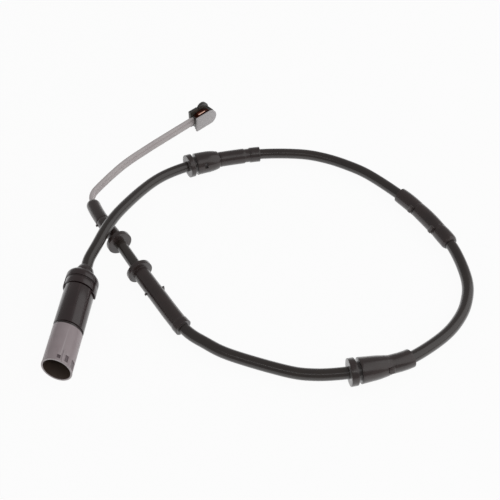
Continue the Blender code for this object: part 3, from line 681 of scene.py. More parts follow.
def around(angle: float, radius: float, height: float) -> Matrix:
    """A frame on a round surface about +Z.

    Args:
        angle: Degrees from +X.
        radius: Distance from the axis.
        height: Height along the axis.

    Returns:
        The frame, whose +Y points out of the surface.
    """
    turn = Matrix.Rotation(math.radians(angle - 90), 4, "Z")
    return turn @ Matrix.Translation((0, radius, height))


def hand_over(
    piece: Piece, finish: Finish, nodes: Iterable[str], angle: float = 35.0
) -> None:
    """Shade a finished piece, dress it, hang it under the root and hide the CAD nodes it replaces.

    Args:
        piece: The mesh object, in place.
        finish: Its material.
        nodes: The CAD nodes it replaces.
        angle: Turns sharper than this, in degrees, stay as hard edges.
    """
    pick(piece)
    bpy.ops.object.shade_smooth_by_angle(angle=math.radians(angle))
    piece.data.materials.clear()
    piece.data.materials.append(finish.material())
    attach(piece, "root")
    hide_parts(*nodes)
    log.info("%s: %d faces", piece.name, len(piece.data.polygons))


def dress(made: Iterable[tuple[Piece, Finish, str, str]], place: Matrix) -> None:
    """Put the pieces of one sub-assembly in place and hand each over.

    Args:
        made: Each piece with its material, its material slot and the CAD node it replaces.
        place: The sub-assembly's frame.
    """
    for piece, finish, slot, node in made:
        put(piece, place)
        hand_over(piece, finish, [node])


def poly_curve(name: str, points: Sequence[Sequence[float]], closed: bool = False) -> Piece:
    """Draw a line of straight stretches.

    Args:
        name: The new object's name.
        points: Its points.
        closed: Whether it is a flat outline that ends where it starts.

    Returns:
        The new curve object.
    """
    curve = bpy.data.curves.new(name, "CURVE")
    curve.dimensions = "2D" if closed else "3D"
    curve.twist_mode = "Z_UP"
    spline = curve.splines.new("POLY")
    spline.points.add(len(points) - 1)
    for point, place in zip(spline.points, points):
        point.co = (*place, 1.0)
    spline.use_cyclic_u = closed
    item = bpy.data.objects.new(name, curve)
    bpy.context.scene.collection.objects.link(item)
    return item


class HarnessLine:
    """The smooth line through the middle of the cable and lead, read by distance along it."""

    steps = 10
    guide_step = 0.0005

    def __init__(self, points: Sequence[Point]) -> None:
        """Run a smooth line through the points.

        Args:
            points: The chosen points, from the plug to the head.
        """
        ends = [Vector(point) for point in points]
        ends.insert(0, ends[0] * 2 - ends[1])
        ends.append(ends[-1] * 2 - ends[-2])
        self.points: list[Vector] = []
        for before, first, second, after in zip(ends, ends[1:], ends[2:], ends[3:]):
            for step in range(self.steps):
                share = step / self.steps
                self.points.append(self.between(before, first, second, after, share))
        self.points.append(ends[-2])
        self.marks = [0.0]
        for first, second in zip(self.points, self.points[1:]):
            self.marks.append(self.marks[-1] + (second - first).length)
        self.length = self.marks[-1]

    @staticmethod
    def between(before: Vector, first: Vector, second: Vector, after: Vector, t: float) -> Vector:
        """A point on the smooth curve from first to second, at share t of the way."""
        return 0.5 * (
            2 * first
            + (second - before) * t
            + (2 * before - 5 * first + 4 * second - after) * t**2
            + (3 * first - before - 3 * second + after) * t**3
        )

    def at(self, distance: float) -> Vector:
        """The point at that distance along the line."""
        distance = min(max(distance, 0.0), self.length)
        index = next((i for i, mark in enumerate(self.marks) if mark >= distance and i), 1)
        span = self.marks[index] - self.marks[index - 1]
        share = (distance - self.marks[index - 1]) / span
        return self.points[index - 1].lerp(self.points[index], share)

    def stretch(self, start: float, end: float, step: float) -> list[Vector]:
        """Points from start to end, about step apart."""
        count = max(1, round((end - start) / step))
        return [self.at(start + (end - start) * i / count) for i in range(count + 1)]

    def guide(self) -> Piece:
        """The line as a curve object that a straight body is bent along.

        Returns:
            The guide, to be removed once the bodies are bent.
        """
        return poly_curve("harness_guide", self.stretch(0.0, self.length, self.guide_step))


def bend(piece: Piece, guide: Piece) -> None:
    """Bend a straight body that stands on +Z along the guide, by distance."""
    turn = piece.modifiers.new("bend", "CURVE")
    turn.object = guide
    turn.deform_axis = "POS_Z"
    apply_modifier(piece, turn)


def drawn_tube(
    name: str, line: Sequence[Vector], section: Sequence[Pair], lean: Pair = (0.0, 0.0)
) -> Piece:
    """Draw a closed section along a line and make it a capped mesh with its own UV map.

    Args:
        name: The new object's name.
        line: The points of its middle.
        section: The outline of the section, across and up.
        lean: Degrees that the section leans over at the start and at the end.

    Returns:
        The new mesh object.
    """
    profile = poly_curve(f"{name}_section", [(*spot, 0.0) for spot in section], closed=True)
    piece = poly_curve(name, line)
    piece.data.use_fill_caps = True
    piece.data.bevel_mode = "OBJECT"
    piece.data.bevel_object = profile
    for index, point in enumerate(piece.data.splines[0].points):
        share = index / (len(line) - 1)
        point.tilt = math.radians(lean[0] + (lean[1] - lean[0]) * share)
    pick(piece)
    bpy.ops.object.convert(target="MESH")
    piece = bpy.context.object
    bpy.data.objects.remove(profile, do_unlink=True)
    bpy.ops.object.mode_set(mode="EDIT")
    close_up()
    return piece


def round_section(diameter: float, sides: int = 40) -> list[Pair]:
    """The outline of a round cable."""
    turns = [math.tau * i / sides for i in range(sides)]
    return [(diameter / 2 * math.cos(turn), diameter / 2 * math.sin(turn)) for turn in turns]


def twin_section(core_d: float, pitch: float, arc_points: int = 15) -> list[Pair]:
    """The outline of two round cores joined side by side and stood upright.

    Args:
        core_d: Diameter of each core.
        pitch: Distance from one core's middle to the other's.
        arc_points: Points round each core; the last one is left to the other core.

    Returns:
        The corners, across and up.
    """
    radius = core_d / 2
    reach = math.pi - math.acos(pitch / 2 / radius)
    outline = []
    for side in (1, -1):
        for i in range(arc_points - 1):
            angle = side * math.pi / 2 + reach * (2 * i / (arc_points - 1) - 1)
            across = radius * math.cos(angle)
            outline.append((across, side * pitch / 2 + radius * math.sin(angle)))
    return outline


@dataclass
class Cord:
    """A cable or lead along the harness line, from where its visible end leaves a piece."""

    name: str
    node: str
    finish: Finish
    slot: str
    section: list[Pair]
    diameter: float
    leaves_at: Point
    start: float
    end: float
    step: float
    lean: Pair = (0.0, 0.0)

    def build(self, line: HarnessLine) -> Piece:
        """Args:
            line: The harness line.

        Returns:
            The cord.
        """
        path = line.stretch(self.start, self.end, self.step)
        piece = drawn_tube(self.name, path, self.section, self.lean)
        hand_over(piece, self.finish, [self.node])
        return piece


@dataclass
class Grommet:
    """A rubber body moulded round the cable, modelled straight and then bent along it."""

    name: str
    at: float
    direction: int = 1
    bore_d: float = 0.0046
    flange_d: float = 0.0108
    edge: float = 0.00026
    ring_step: float = 0.0011

    def outline(self) -> list[Pair]:
        """Distance from the start and diameter of each corner; each kind has its own."""
        raise NotImplementedError

    def add_details(self, piece: Piece) -> None:
        """Add what isn't round; a plain grommet has nothing."""

    def spot(self, distance: float, angle: float, radius: float) -> Matrix:
        """A frame on the straight body's surface, at a distance from its start."""
        return around(angle, radius, self.at + self.direction * distance)

    def build(self, guide: Piece) -> Piece:
        """Model the grommet and bend it along the harness.

        Args:
            guide: The curve to bend along.

        Returns:
            The grommet.
        """
        placed = [(self.at + self.direction * along, width) for along, width in self.outline()]
        rings = tube_rings(placed, self.bore_d, self.ring_step)
        piece = lathe(f"{self.name}_rubber", rings)
        soften(piece, self.edge)
        self.add_details(piece)
        bend(piece, guide)
        hand_over(piece, RUBBER, [self.name])
        return piece


@dataclass
class TaperGrommet(Grommet):
    """Flange, bracket groove, tapered body, neck and tail.

    Each of the falls is a share of the body's length and how much thinner it is there than at
    its shoulder.
    """

    flange_t: float = 0.0025
    groove_d: float = 0.0074
    groove_w: float = 0.0016
    body_d: float = 0.0103
    shoulder_d: float = 0.0100
    body_end_d: float = 0.0082
    body_len: float = 0.0109
    falls: tuple[Pair, ...] = ((0.55, 0.0), (0.70, 0.00035), (0.85, 0.0009))
    neck_d: float = 0.0068
    neck_w: float = 0.0008
    tail_d: float = 0.0071
    tail_len: float = 0.0120
    collar_neck: float = 0.0028
    collar_neck_d: float = 0.0064
    collar_d: float = 0.0071
    collar_len: float = 0.0048
    slot: Point = (0.0024, 0.0024, 0.0016)
    slot_share: float = 0.38
    slot_angle: float | None = 160.0
    bump: Point = (0.0026, 0.0018, 0.0022)
    bump_angle: float | None = None

    def outline(self) -> list[Pair]:
        """Corners of the flange, groove, body, neck, tail and collar."""
        corners = stepped(0.0, [(self.flange_t, self.flange_d), (self.groove_w, self.groove_d)])
        body_from = corners[-1][0]
        body_to = body_from + self.body_len
        corners.append((body_from, self.body_d))
        for share, fall in self.falls:
            corners.append((body_from + self.body_len * share, self.shoulder_d - fall))
        corners.append((body_to, self.body_end_d))
        rest = [(self.neck_w, self.neck_d), (self.tail_len, self.tail_d)]
        if self.collar_len:
            rest += [(self.collar_neck, self.collar_neck_d), (self.collar_len, self.collar_d)]
        return corners + stepped(body_to, rest)

    def add_details(self, piece: Piece) -> None:
        """Cut the slot in the tapered body, or add the bump at the neck."""
        if self.slot_angle is not None:
            middle = self.flange_t + self.groove_w + self.body_len * self.slot_share
            place = self.spot(middle, self.slot_angle, self.shoulder_d / 2)
            combine(piece, detail(self.slot, place, 0.0002), Join.CUT)
        if self.bump_angle is not None:
            middle = self.flange_t + self.groove_w + self.body_len + self.neck_w / 2
            place = self.spot(middle, self.bump_angle, self.tail_d / 2)
            combine(piece, detail(self.bump, place, 0.0003), Join.ADD)


@dataclass
class BeadGrommet(Grommet):
    """Three slightly barrelled beads in a row, with a tooth at each groove.

    The last bead narrows over its tip, by the tip's length and fall in diameter.
    """

    beads: tuple[float, ...] = (0.0117, 0.0147, 0.0084)
    bead_d: float = 0.0072
    swell: float = 0.0003
    groove_d: float = 0.0066
    groove_w: float = 0.0007
    tooth_angle: float = 160.0
    tooth: Point = (0.0034, 0.0015, 0.0017)
    tip: Pair = (0.0009, 0.0012)

    def outline(self) -> list[Pair]:
        """Corners of the beads, each a little thicker in its middle."""
        low = self.bead_d - self.swell
        corners: list[Pair] = []
        for bead, length in enumerate(self.beads):
            start = sum(self.beads[:bead])
            last = bead == len(self.beads) - 1
            end = start + length - (0.0 if last else self.groove_w)
            corners.append((start, low))
            for share in (0.2, 0.35, 0.5, 0.65, 0.8):
                bulge = self.swell * (1 - (2 * share - 1) ** 2)
                corners.append((start + (end - start) * share, low + bulge))
            if last:
                corners += [(end - self.tip[0], low), (end, self.bead_d - self.tip[1])]
            else:
                corners += [(end, low), (end, self.groove_d)]
                corners.append((end + self.groove_w, self.groove_d))
        return corners

    def add_details(self, piece: Piece) -> None:
        """Add a tooth before each groove."""
        for bead in range(1, len(self.beads)):
            middle = sum(self.beads[:bead]) - self.groove_w - self.tooth[2] / 2
            place = self.spot(middle, self.tooth_angle, self.bead_d / 2)
            combine(piece, detail(self.tooth, place, 0.0002), Join.ADD)


@dataclass
class RingGrommet(Grommet):
    """A thin ring flange on a long sleeve, with two small spurs.

    Each spur has its angle, its shift along the sleeve and its reach. The end narrows over the
    falls, each with its distance before the end and its fall in diameter.
    """

    ring_t: float = 0.0020
    sleeve_d: float = 0.0070
    sleeve_len: float = 0.0300
    end_d: float = 0.0074
    end_len: float = 0.0029
    spur_from_ring: float = 0.0130
    spurs: tuple[Point, ...] = ((0.0, -0.0003, 0.0010), (180.0, 0.0011, 0.0024))
    spur: Pair = (0.0014, 0.0007)
    end_falls: tuple[Pair, ...] = ((0.0, 0.0),)
    neck_groove_d: float | None = None
    neck_groove_w: float = 0.0007

    def outline(self) -> list[Pair]:
        """Corners of the ring, the sleeve and its end."""
        groove_w = self.neck_groove_w if self.neck_groove_d else 0.0
        steps = [(self.ring_t, self.flange_d), (self.sleeve_len - groove_w, self.sleeve_d)]
        if self.neck_groove_d:
            steps.append((groove_w, self.neck_groove_d))
        corners = stepped(0.0, steps)
        sleeve_to = corners[-1][0]
        corners.append((sleeve_to, self.end_d))
        end = sleeve_to + self.end_len
        return corners + [(end - back, self.end_d - fall) for back, fall in self.end_falls]

    def add_details(self, piece: Piece) -> None:
        """Add the two spurs on opposite sides of the sleeve."""
        for angle, shift, reach in self.spurs:
            place = self.spot(self.spur_from_ring + shift, angle, self.sleeve_d / 2)
            combine(piece, detail((reach, *self.spur), place, 0.00015), Join.ADD)


@dataclass
class PlugConnector:
    """Plug at the vehicle end: grey shell, black sleeve, rear cap and rubber boot.

    The rib and the notch are blocks, with their width, depth and length. The two pockets share
    a width and a depth. The joint is the narrower band in front of the sleeve, with its length
    and its fall in diameter, and the boot's tip has the same two. The boot's falls are how far
    behind the cap each ring lies and how much thinner it is. The cap is straight up to the share
    cap_shoulder of its dome. The plain ring keeps the shell's long faces free of the marks.
    """

    axis: Point = (0.1148, 0.9907, 0.0750)
    jacket_inside_cap: float = 0.0033
    clear: float = 0.0003
    rim_d: float = 0.0123
    rim_band: float = 0.0005
    rim_step: float = 0.0003
    plain_ring: float = 0.0056
    shell_d: float = 0.0121
    shell_len: float = 0.0175
    socket_d: float = 0.0109
    socket_depth: float = 0.0125
    spigot_d: float = 0.0096
    spigot_len: float = 0.0125
    carrier_d: float = 0.0070
    sleeve_d: float = 0.0123
    sleeve_len: float = 0.0183
    joint: Pair = (0.0008, 0.0014)
    cap_d: float = 0.0137
    cap_band_d: float = 0.0131
    cap_band_len: float = 0.0033
    cap_dome_len: float = 0.0043
    cap_shoulder: float = 0.35
    cap_groove: float = 0.0006
    cap_wall: float = 0.0028
    hole_d: float = 0.0069
    hole_rim_d: float = 0.0083
    sides: int = 96
    prong_gap: float = 0.0001
    prong_reach: float = 0.0010
    prong_t: float = 0.0006
    prong_w: float = 0.0046
    boot_d: float = 0.0077
    boot_end_d: float = 0.0064
    boot_inner_d: float = 0.0068
    boot_falls: tuple[Pair, ...] = ((0.0006, 0.0), (0.0012, 0.0), (0.0020, 0.0004))
    boot_tip: Pair = (0.0005, 0.0006)
    boot_len: float = 0.0033
    rib: Point = (0.0007, 0.0007, 0.0050)
    rib_at: float = 0.0028
    rib_angle: float = 118.0
    pocket: Pair = (0.0014, 0.0009)
    pocket_lens: Pair = (0.0016, 0.0028)
    pocket_from: float = 0.0011
    pocket_turn: float = 15.0
    notch: Point = (0.0034, 0.0020, 0.0038)
    notch_at: float = 0.0024
    notch_angle: float = 172.0
    notch_floor: float = 0.0057
    slant: float = 0.12
    ring_tilt: float = 0.09
    mouth_tilt: float = 0.20
    mouth_back: float = 0.0009

    def sleeve_end(self) -> float:
        """Distance from the rim to the rear edge of the sleeve."""
        return self.shell_len + self.clear + self.sleeve_len

    def cap_end(self) -> float:
        """Distance from the rim to the rear of the cap."""
        return self.sleeve_end() + self.clear + self.cap_band_len + self.cap_dome_len

    def place(self) -> Matrix:
        """The plug's frame: origin at the middle of the rim, +Z to the rear, +Y up."""
        along = Vector(self.axis).normalized()
        side = Vector((0, 0, 1)).cross(along).normalized()
        turn = Matrix((side, along.cross(side), along)).transposed().to_4x4()
        start = self.sleeve_end() + self.jacket_inside_cap
        return Matrix.Translation(Vector(HARNESS_ROUTE[0]) - along * start) @ turn

    def build_shell(self) -> Piece:
        """The grey shell with its open socket, rim marks and latch notch.

        Returns:
            The shell, still upright at the origin.
        """
        rear = self.shell_len + self.spigot_len
        bore_d = self.carrier_d + 2 * self.clear
        corners = [
            (rear, self.spigot_d),
            (self.shell_len, self.spigot_d),
            (self.shell_len, self.shell_d),
            (self.plain_ring, self.shell_d),
            (self.rim_band + self.rim_step, self.shell_d),
            (self.rim_band, self.rim_d),
            (0.0, self.rim_d),
            (0.0, self.socket_d),
            (self.socket_depth, self.socket_d),
            (self.socket_depth, bore_d),
            (rear, bore_d),
            (rear, self.spigot_d),
        ]
        shell = lathe("plug_shell", [(height, width / 2) for height, width in corners], self.sides)
        soften(shell, 0.00012)
        for side, length in zip((-1, 1), self.pocket_lens):
            angle = self.rib_angle + side * self.pocket_turn
            place = around(angle, self.shell_d / 2, self.pocket_from + length / 2)
            combine(shell, detail((*self.pocket, length), place, 0.0001), Join.CUT)
        place = around(self.rib_angle, self.shell_d / 2, self.rib_at)
        combine(shell, detail(self.rib, place, 0.0002), Join.ADD)
        place = around(self.notch_angle, self.notch_floor + self.notch[1] / 2, self.notch_at)
        combine(shell, detail(self.notch, place, 0.0004), Join.CUT)
        # Small margins keep each area to its own faces
        bore = self.socket_d / 2 + 0.00005
        floor = self.notch_floor + 0.00015
        # Painted shade: the socket's inside faces are darkened
        mark(shell, "socket_shade", lambda spot: spot.xy.length < bore and spot.z > 0.0004)
        # Painted shade: the latch notch's floor and walls are darkened
        mark(shell, "notch", lambda spot: bore < spot.xy.length < floor and spot.z > 0.0006)
        # Painted highlight: the rim's front face is paled
        mark(shell, "rim", lambda spot: spot.xy.length > bore and spot.z < 0.00008)
        return shell

    def build_sleeve(self) -> Piece:
        """The black sleeve over the shell's rear."""
        front = self.shell_len + self.clear
        length, fall = self.joint
        steps = [(length, self.sleeve_d - fall), (self.sleeve_len - length, self.sleeve_d)]
        rings = tube_rings(stepped(front, steps), self.spigot_d + 2 * self.clear)
        sleeve = lathe("plug_sleeve", rings, self.sides)
        soften(sleeve, 0.0003)
        return sleeve

    def build_cap(self) -> Piece:
        """The rear cap with its band, dome and two prongs."""
        band_from = self.sleeve_end() + self.clear
        dome_from = band_from + self.cap_band_len
        rear = self.cap_end()
        shoulder = dome_from + self.cap_dome_len * self.cap_shoulder
        inside = self.boot_d + 2 * self.clear
        groove = self.cap_groove
        band = [(self.cap_band_len - groove, self.cap_band_d), (groove, self.cap_band_d - groove)]
        corners = [(band_from, self.spigot_d), *stepped(band_from, band)]
        corners += [(dome_from, self.cap_d), (shoulder, self.cap_d)]
        fall = (self.cap_d - self.boot_d) / 2
        for i in range(1, 9):
            angle = math.radians(90 * i / 9)
            height = shoulder + (rear - shoulder) * math.sin(angle)
            corners.append((height, self.cap_d - 2 * fall * (1 - math.cos(angle))))
        corners += [
            (rear, self.hole_rim_d),
            (rear, self.hole_d),
            (rear - self.cap_wall, self.hole_d),
            (rear - self.cap_wall, inside),
            (band_from, inside),
            (band_from, self.spigot_d),
        ]
        cap = lathe("plug_cap", [(height, width / 2) for height, width in corners], self.sides)
        soften(cap, 0.0002, 3, 30)
        prong_from = band_from - self.prong_reach
        inner = self.sleeve_d + 2 * self.prong_gap
        outline = stepped(prong_from, [(dome_from - prong_from, inner + 2 * self.prong_t)])
        prongs = lathe("prongs", tube_rings(outline, inner), self.sides)
        soften(prongs, 0.0003, 3, 40)
        middle = Matrix.Translation((0, 0, (prong_from + dome_from) / 2))
        combine(prongs, detail((0.03, self.prong_w, 0.02), middle), Join.KEEP_SHARED)
        combine(cap, prongs, Join.ADD)
        return cap

    def build_boot(self) -> Piece:
        """The rubber strain relief where the cable leaves the cap."""
        rear = self.cap_end()
        out_to = rear + self.clear + self.boot_len
        inner = rear - self.cap_wall
        outline = [
            (inner, self.boot_inner_d),
            (rear, self.boot_inner_d),
            *((rear + back, self.boot_d - fall) for back, fall in self.boot_falls),
            (out_to - self.boot_tip[0], self.boot_end_d),
            (out_to, self.boot_end_d - self.boot_tip[1]),
        ]
        boot = lathe("plug_boot", tube_rings(outline, 0.0046), 64)
        soften(boot, 0.0002)
        return boot

    def lean_rings(self, piece: Piece) -> None:
        """Set the plug's rings out of square, the mouth most.

        Their +X side and their top lie further back, as on the plug in the photograph.

        Args:
            piece: One of the plug's pieces, still upright at the origin.
        """
        for vertex in piece.data.vertices:
            near_mouth = max(0.0, 1 - vertex.co.z / self.shell_len)
            tilt = self.ring_tilt + (self.mouth_tilt - self.ring_tilt) * near_mouth
            back = self.slant * vertex.co.x + tilt * vertex.co.y + self.mouth_back * near_mouth
            vertex.co.z += back

    def build(self) -> None:
        """Build the four visible pieces in the plug's frame and dress them."""
        made = (
            (self.build_shell(), SHELL_POLYESTER, "grey_plastic", "connector_housing"),
            (self.build_sleeve(), NYLON, "black_plastic", "connector_sleeve"),
            (self.build_cap(), NYLON, "black_plastic", "rear_cap"),
            (self.build_boot(), RUBBER, "black_rubber", "cable_boot"),
        )
        for piece, *_ in made:
            self.lean_rings(piece)
        dress(made, self.place())


@dataclass
class SensorHead:
    """Clip-in head: pale D plate, dark body with a rear wall and knob, and a copper clip.

    The web is a thin wall at the lead's end. The plate and the web start at one distance at the
    top and at another at the foot. The bead is the ridge on the clip, whose top faces carry a
    painted highlight, and its middle lies before the clip's end by bead_back and behind its front
    by bead_in. The body reaches into the plate, and the clip into the deck, by sunk.
    """

    heading: float = 44.0
    lead_depth: float = 0.0045
    lead_from_front: float = 0.0040
    length: float = 0.0134
    depth: float = 0.0064
    plate_h: float = 0.0076
    plate_t: float = 0.0011
    plate_from: Pair = (0.0008, 0.0002)
    deck_h: float = 0.0066
    deck_from: float = 0.0018
    body_short: float = 0.0010
    nose_run: float = 0.0036
    nose_rise: float = 0.0023
    wall_t: float = 0.0015
    wall_h: float = 0.0089
    wall_from: float = 0.0006
    knob_r: float = 0.0033
    knob_from_entry: float = 0.0090
    knob_top: float = 0.0101
    web_from: Pair = (0.0001, 0.0005)
    web_to: float = 0.0022
    web_foot: float = 0.0006
    web_t: float = 0.0009
    clip_t: float = 0.0004
    clip_from: float = 0.0020
    clip_len: float = 0.0084
    clip_rise: float = 0.0007
    clip_foot: float = 0.0010
    bead_d: float = 0.0008
    bead_len: float = 0.0042
    bead_back: float = 0.0048
    bead_in: float = 0.0006
    sunk: float = 0.0001
    clear: float = 0.0003

    def place(self) -> Matrix:
        """The head's frame: +X along the lead, +Y from the front plate to the rear."""
        turn = Matrix.Rotation(math.radians(self.heading), 4, "Z")
        tip = Vector(HARNESS_ROUTE[-1])
        local = Vector((self.lead_depth, self.lead_from_front, 0))
        corner = Vector((tip.x, tip.y, 0)) - turn.to_3x3() @ local
        return Matrix.Translation(corner) @ turn

    @staticmethod
    def slab(name: str, outline: Sequence[Pair], front: float, rear: float) -> Piece:
        """Extrude a flat outline from front to rear.

        Args:
            name: The new object's name.
            outline: Corners along the head and up.
            front: Where it starts across the head.
            rear: Where it ends.

        Returns:
            The new mesh object.
        """
        bpy.ops.mesh.primitive_circle_add(vertices=len(outline), radius=0.01, fill_type="NGON")
        piece = bpy.context.object
        piece.name = name
        for vertex, (along, upright) in zip(piece.data.vertices, outline):
            vertex.co = (along, front, upright)
        bpy.ops.object.mode_set(mode="EDIT")
        bpy.ops.mesh.select_all(action="SELECT")
        bpy.ops.mesh.extrude_region_move(TRANSFORM_OT_translate={"value": (0, rear - front, 0)})
        close_up()
        return piece

    @staticmethod
    def arc(middle: Pair, radius: float, turns: Pair, steps: int) -> list[Pair]:
        """Points of an arc between two angles in degrees."""
        points = []
        for i in range(steps + 1):
            turn = math.radians(turns[0] + (turns[1] - turns[0]) * i / steps)
            along = middle[0] + radius * math.cos(turn)
            points.append((along, middle[1] + radius * math.sin(turn)))
        return points

    def build_plate(self) -> Piece:
        """The pale front plate with one round end."""
        radius = self.plate_h / 2
        middle = (self.length - radius, radius)
        top_from, foot_from = self.plate_from
        outline = [(top_from, self.plate_h), (foot_from, 0.0)]
        outline += self.arc(middle, radius, (-90.0, 90.0), 28)
        plate = self.slab("front_plate", outline, 0.0, self.plate_t)
        soften(plate, 0.00025, 3, 40)
        return plate

    def build_body(self) -> Piece:
        """The dark body: deck, rear wall with a round knob, and the web at the lead's end."""
        end = self.length - self.body_short
        nose = [(end - self.nose_run, 0.0), (end, self.nose_rise), (end, self.deck_h)]
        front = self.plate_t - self.sunk
        rear = self.depth - self.wall_t / 2
        deck = [(self.deck_from, self.deck_h), (self.deck_from, 0.0), *nose]
        body = self.slab("head_deck", deck, front, rear)
        middle = (self.knob_from_entry, self.knob_top - self.knob_r)
        knob = self.arc(middle, self.knob_r, (-5.0, 160.0), 20)
        step = (self.knob_from_entry - self.knob_r, self.wall_h)
        outline = [(self.wall_from, self.wall_h), (self.wall_from, 0.0), *nose, *knob, step]
        wall = self.slab("head_wall", outline, self.depth - self.wall_t, self.depth)
        combine(body, wall, Join.ADD)
        top_from, foot_from = self.web_from
        web = [(top_from, self.deck_h), (foot_from, self.web_foot)]
        web += [(self.web_to, self.web_foot), (self.web_to, self.deck_h)]
        combine(body, self.slab("head_web", web, front, front + self.web_t), Join.ADD)
        soften(body, 0.0002, 2, 40)
        return body

    def build_clip(self) -> Piece:
        """The bent copper strip over the deck."""
        base = self.deck_h - self.sunk
        end = self.clip_from + self.clip_len
        top = base + self.clip_rise
        foot = self.clip_foot
        under = [
            (self.clip_from, base),
            (self.clip_from + foot, base),
            (self.clip_from + 2 * foot, top),
            (end - 2 * foot, top),
            (end - foot, base),
            (end, base),
        ]
        over = [(along, upright + self.clip_t) for along, upright in reversed(under)]
        rear = self.depth - self.wall_t - self.clear
        front = self.plate_t + 2 * self.clear
        clip = self.slab("clip_strip", under + over, front, rear)
        soften(clip, 0.0001, 2, 30)
        level = top + self.clip_t
        turned = Matrix.Translation((end - self.bead_back, front + self.bead_in, level))
        turned @= Matrix.Rotation(math.radians(90), 4, "Y")
        size = (self.bead_d, self.bead_d, self.bead_len)
        combine(clip, detail(size, turned, 0.0001, Shape.ROD), Join.ADD)
        # Painted highlight: the bead's top faces get a pale copper colour
        mark(clip, "bead_highlight", lambda spot: spot.z > level + 0.00004)
        return clip

    def build(self) -> None:
        """Build the head's visible pieces in place and dress them."""
        made = (
            (self.build_plate(), PLATE_PLASTIC, "pale_plastic", "wear_plate"),
            (self.build_body(), HEAD_PLASTIC, "black_plastic", "head_body"),
            (self.build_clip(), CLIP_COPPER, "copper", "spring_clip"),
        )
        dress(made, self.place())


@dataclass
class InnerParts:
    """CAD nodes inside the mouldings, which keep their shape and get real finishes."""

    finishes: tuple[tuple[str, Finish], ...] = (
        ("terminal_carrier", NYLON),
        ("terminal_1", TIN_PLATE),
        ("terminal_2", TIN_PLATE),
        ("core_wire_1", CORE_INSULATION),
        ("core_wire_2", CORE_INSULATION),
        ("wire_seal", SEAL_SILICONE),
        ("splice_crimp_1", TIN_PLATE),
        ("splice_crimp_2", TIN_PLATE),
        ("wear_loop", CLIP_COPPER),
    )

    def dress(self) -> None:
        """Give each inner node its finish."""
        for node, finish in self.finishes:
            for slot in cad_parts[node].material_slots:
                slot.material = finish.material()
            log.info("%s dressed", node)


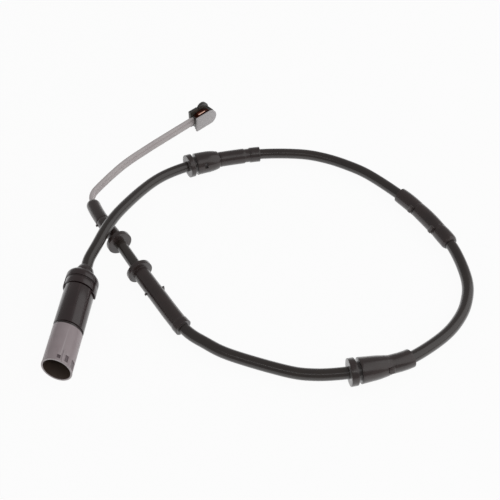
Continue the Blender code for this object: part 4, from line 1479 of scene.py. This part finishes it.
@dataclass
class Studio:
    """White table, soft lamps and the camera at the photograph's angle.

    The two glows are how much of the table's own white the camera and reflections see. The
    table lies a little below the lowest piece.
    """

    aim: Point = (-0.0055, -0.0102, 0.0)
    back: float = 0.21976
    up: float = 0.25549
    lens: float = 55.8
    table_z: float = -0.0003
    camera_glow: float = 0.95
    mirror_glow: float = 0.9
    sky: float = 0.31
    key_power: float = 3.0
    strip_power: float = 0.16

    @staticmethod
    def hang(data: bpy.types.ID, place: Vector, aim: Vector) -> Piece:
        """Add a camera or a lamp at a place and turn it towards the aim."""
        item = bpy.data.objects.new(data.name, data)
        bpy.context.scene.collection.objects.link(item)
        item.location = place
        item.rotation_euler = (aim - place).to_track_quat("-Z", "Y").to_euler()
        return item

    def build_camera(self) -> None:
        """Set the camera up and aim it."""
        data = bpy.data.cameras.new("camera")
        data.lens = self.lens
        data.sensor_width = 36.0
        data.clip_start = 0.01
        data.clip_end = 20.0
        aim = Vector(self.aim)
        item = self.hang(data, aim + Vector((0.0, -self.back, self.up)), aim)
        bpy.context.scene.camera = item

    def build_table(self) -> None:
        """Lay the white table top that the harness rests on.

        White to the camera and in reflections, and plain white paper to all other light, with
        part of its shading kept so that the harness still has a shadow.
        """
        bpy.ops.mesh.primitive_circle_add(
            vertices=64, radius=3.0, fill_type="NGON", location=(0, 0, self.table_z)
        )
        table = bpy.context.object
        table.name = "table"
        bpy.ops.object.transform_apply(location=True)
        paper = bpy.data.materials.new("white_table")
        paper.use_nodes = True
        tree = paper.node_tree
        tree.nodes.remove(tree.nodes["Principled BSDF"])
        rays = add_node(tree, "LightPath", {}).outputs
        plain = add_node(tree, "BsdfDiffuse", {"Color": from_hex("#f4f4f4")}).outputs["BSDF"]
        glow = add_node(tree, "Emission", {"Color": WHITE, "Strength": 1.0}).outputs["Emission"]
        either = {0: rays["Is Glossy Ray"], 1: rays["Is Transmission Ray"]}
        mirrored = add_node(tree, "Math", either, operation="MAXIMUM").outputs["Value"]

        def blend(share: Socket | float, first: Socket, second: Socket) -> Socket:
            """Blend two shaders by a share."""
            inputs = {"Fac": share, 1: first, 2: second}
            return add_node(tree, "MixShader", inputs).outputs["Shader"]

        seen = blend(rays["Is Camera Ray"], plain, blend(self.camera_glow, plain, glow))
        surface = blend(mirrored, seen, blend(self.mirror_glow, plain, glow))
        fill_in(tree, tree.nodes["Material Output"], {"Surface": surface})
        table.data.materials.append(paper)

    def build_lamp(self, name: str, place: Point, size: Pair, power: float) -> None:
        """Hang one soft box that faces the harness.

        Args:
            name: The lamp's name.
            place: Where it hangs.
            size: Its width and its height.
            power: Its power in watts.
        """
        data = bpy.data.lights.new(name, "AREA")
        data.shape = "RECTANGLE"
        data.size, data.size_y = size
        data.energy = power
        self.hang(data, Vector(place), Vector())

    def build_sky(self) -> None:
        """White to the camera, and a dimmer fill for all other light."""
        world = bpy.data.worlds.new("studio_white")
        world.use_nodes = True
        tree = world.node_tree
        rays = add_node(tree, "LightPath", {}).outputs
        inputs = {"Value": rays["Is Camera Ray"], "To Min": self.sky, "To Max": 1.0}
        strength = add_node(tree, "MapRange", inputs).outputs["Result"]
        fill_in(tree, tree.nodes["Background"], {"Color": WHITE, "Strength": strength})
        bpy.context.scene.world = world

    def build(self) -> None:
        """Set up the camera, the table, the lamps and the sky."""
        bpy.context.scene.view_settings.view_transform = "Standard"
        self.build_camera()
        self.build_table()
        self.build_lamp("right_soft_box", (0.72, -0.05, 0.60), (1.30, 1.10), self.key_power)
        self.build_lamp("front_strip", (-0.02, -0.36, 0.58), (0.60, 0.03), self.strip_power)
        self.build_sky()


def main() -> None:
    """Build and dress every piece in order."""
    logging.basicConfig(level=logging.INFO, format="%(name)s %(message)s")
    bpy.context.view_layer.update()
    line = HarnessLine(HARNESS_ROUTE)
    Studio().build()
    log.info("studio ready")
    cable = Cord(
        "cable_jacket",
        "cable",
        JACKET_VINYL,
        "black_jacket",
        round_section(CABLE_D),
        diameter=CABLE_D,
        leaves_at=(-0.072659, -0.028377, 0.009575),
        start=0.0,
        end=CABLE_END_AT,
        step=0.0015,
    )
    lead = Cord(
        "twin_lead",
        "sensor_lead",
        LEAD_INSULATION,
        "grey_insulation",
        twin_section(CORE_D, CORE_PITCH),
        diameter=CORE_D + CORE_PITCH,
        leaves_at=(-0.076682, 0.0148, 0.003356),
        start=LEAD_START_AT,
        end=line.length,
        step=0.0012,
        lean=(5.0, -58.0),
    )
    cable.build(line)
    lead.build(line)
    guide = line.guide()
    grommets = (
        TaperGrommet("grommet_1", GROMMET_1_AT),
        BeadGrommet("grommet_2", GROMMET_2_AT + GROMMET_2_SHIFT),
        TaperGrommet(
            "grommet_3",
            GROMMET_3_AT,
            direction=-1,
            shoulder_d=0.0094,
            body_end_d=0.0080,
            neck_d=0.0077,
            tail_d=0.0074,
            tail_len=0.0092,
            collar_len=0.0,
            slot_angle=None,
            bump_angle=26.0,
        ),
        RingGrommet("grommet_4", GROMMET_4_AT, direction=-1),
        RingGrommet(
            "grommet_5",
            GROMMET_5_AT,
            sleeve_d=0.0062,
            sleeve_len=0.0147,
            end_d=0.0062,
            end_len=0.0138,
            spur_from_ring=0.0160,
            end_falls=((0.0016, 0.0), (0.0006, 0.0007), (0.0, 0.0016)),
            neck_groove_d=0.0058,
        ),
    )
    for grommet in grommets:
        grommet.build(guide)
    bpy.data.objects.remove(guide, do_unlink=True)
    PlugConnector().build()
    SensorHead().build()
    InnerParts().dress()


if __name__ == "__main__":
    main()
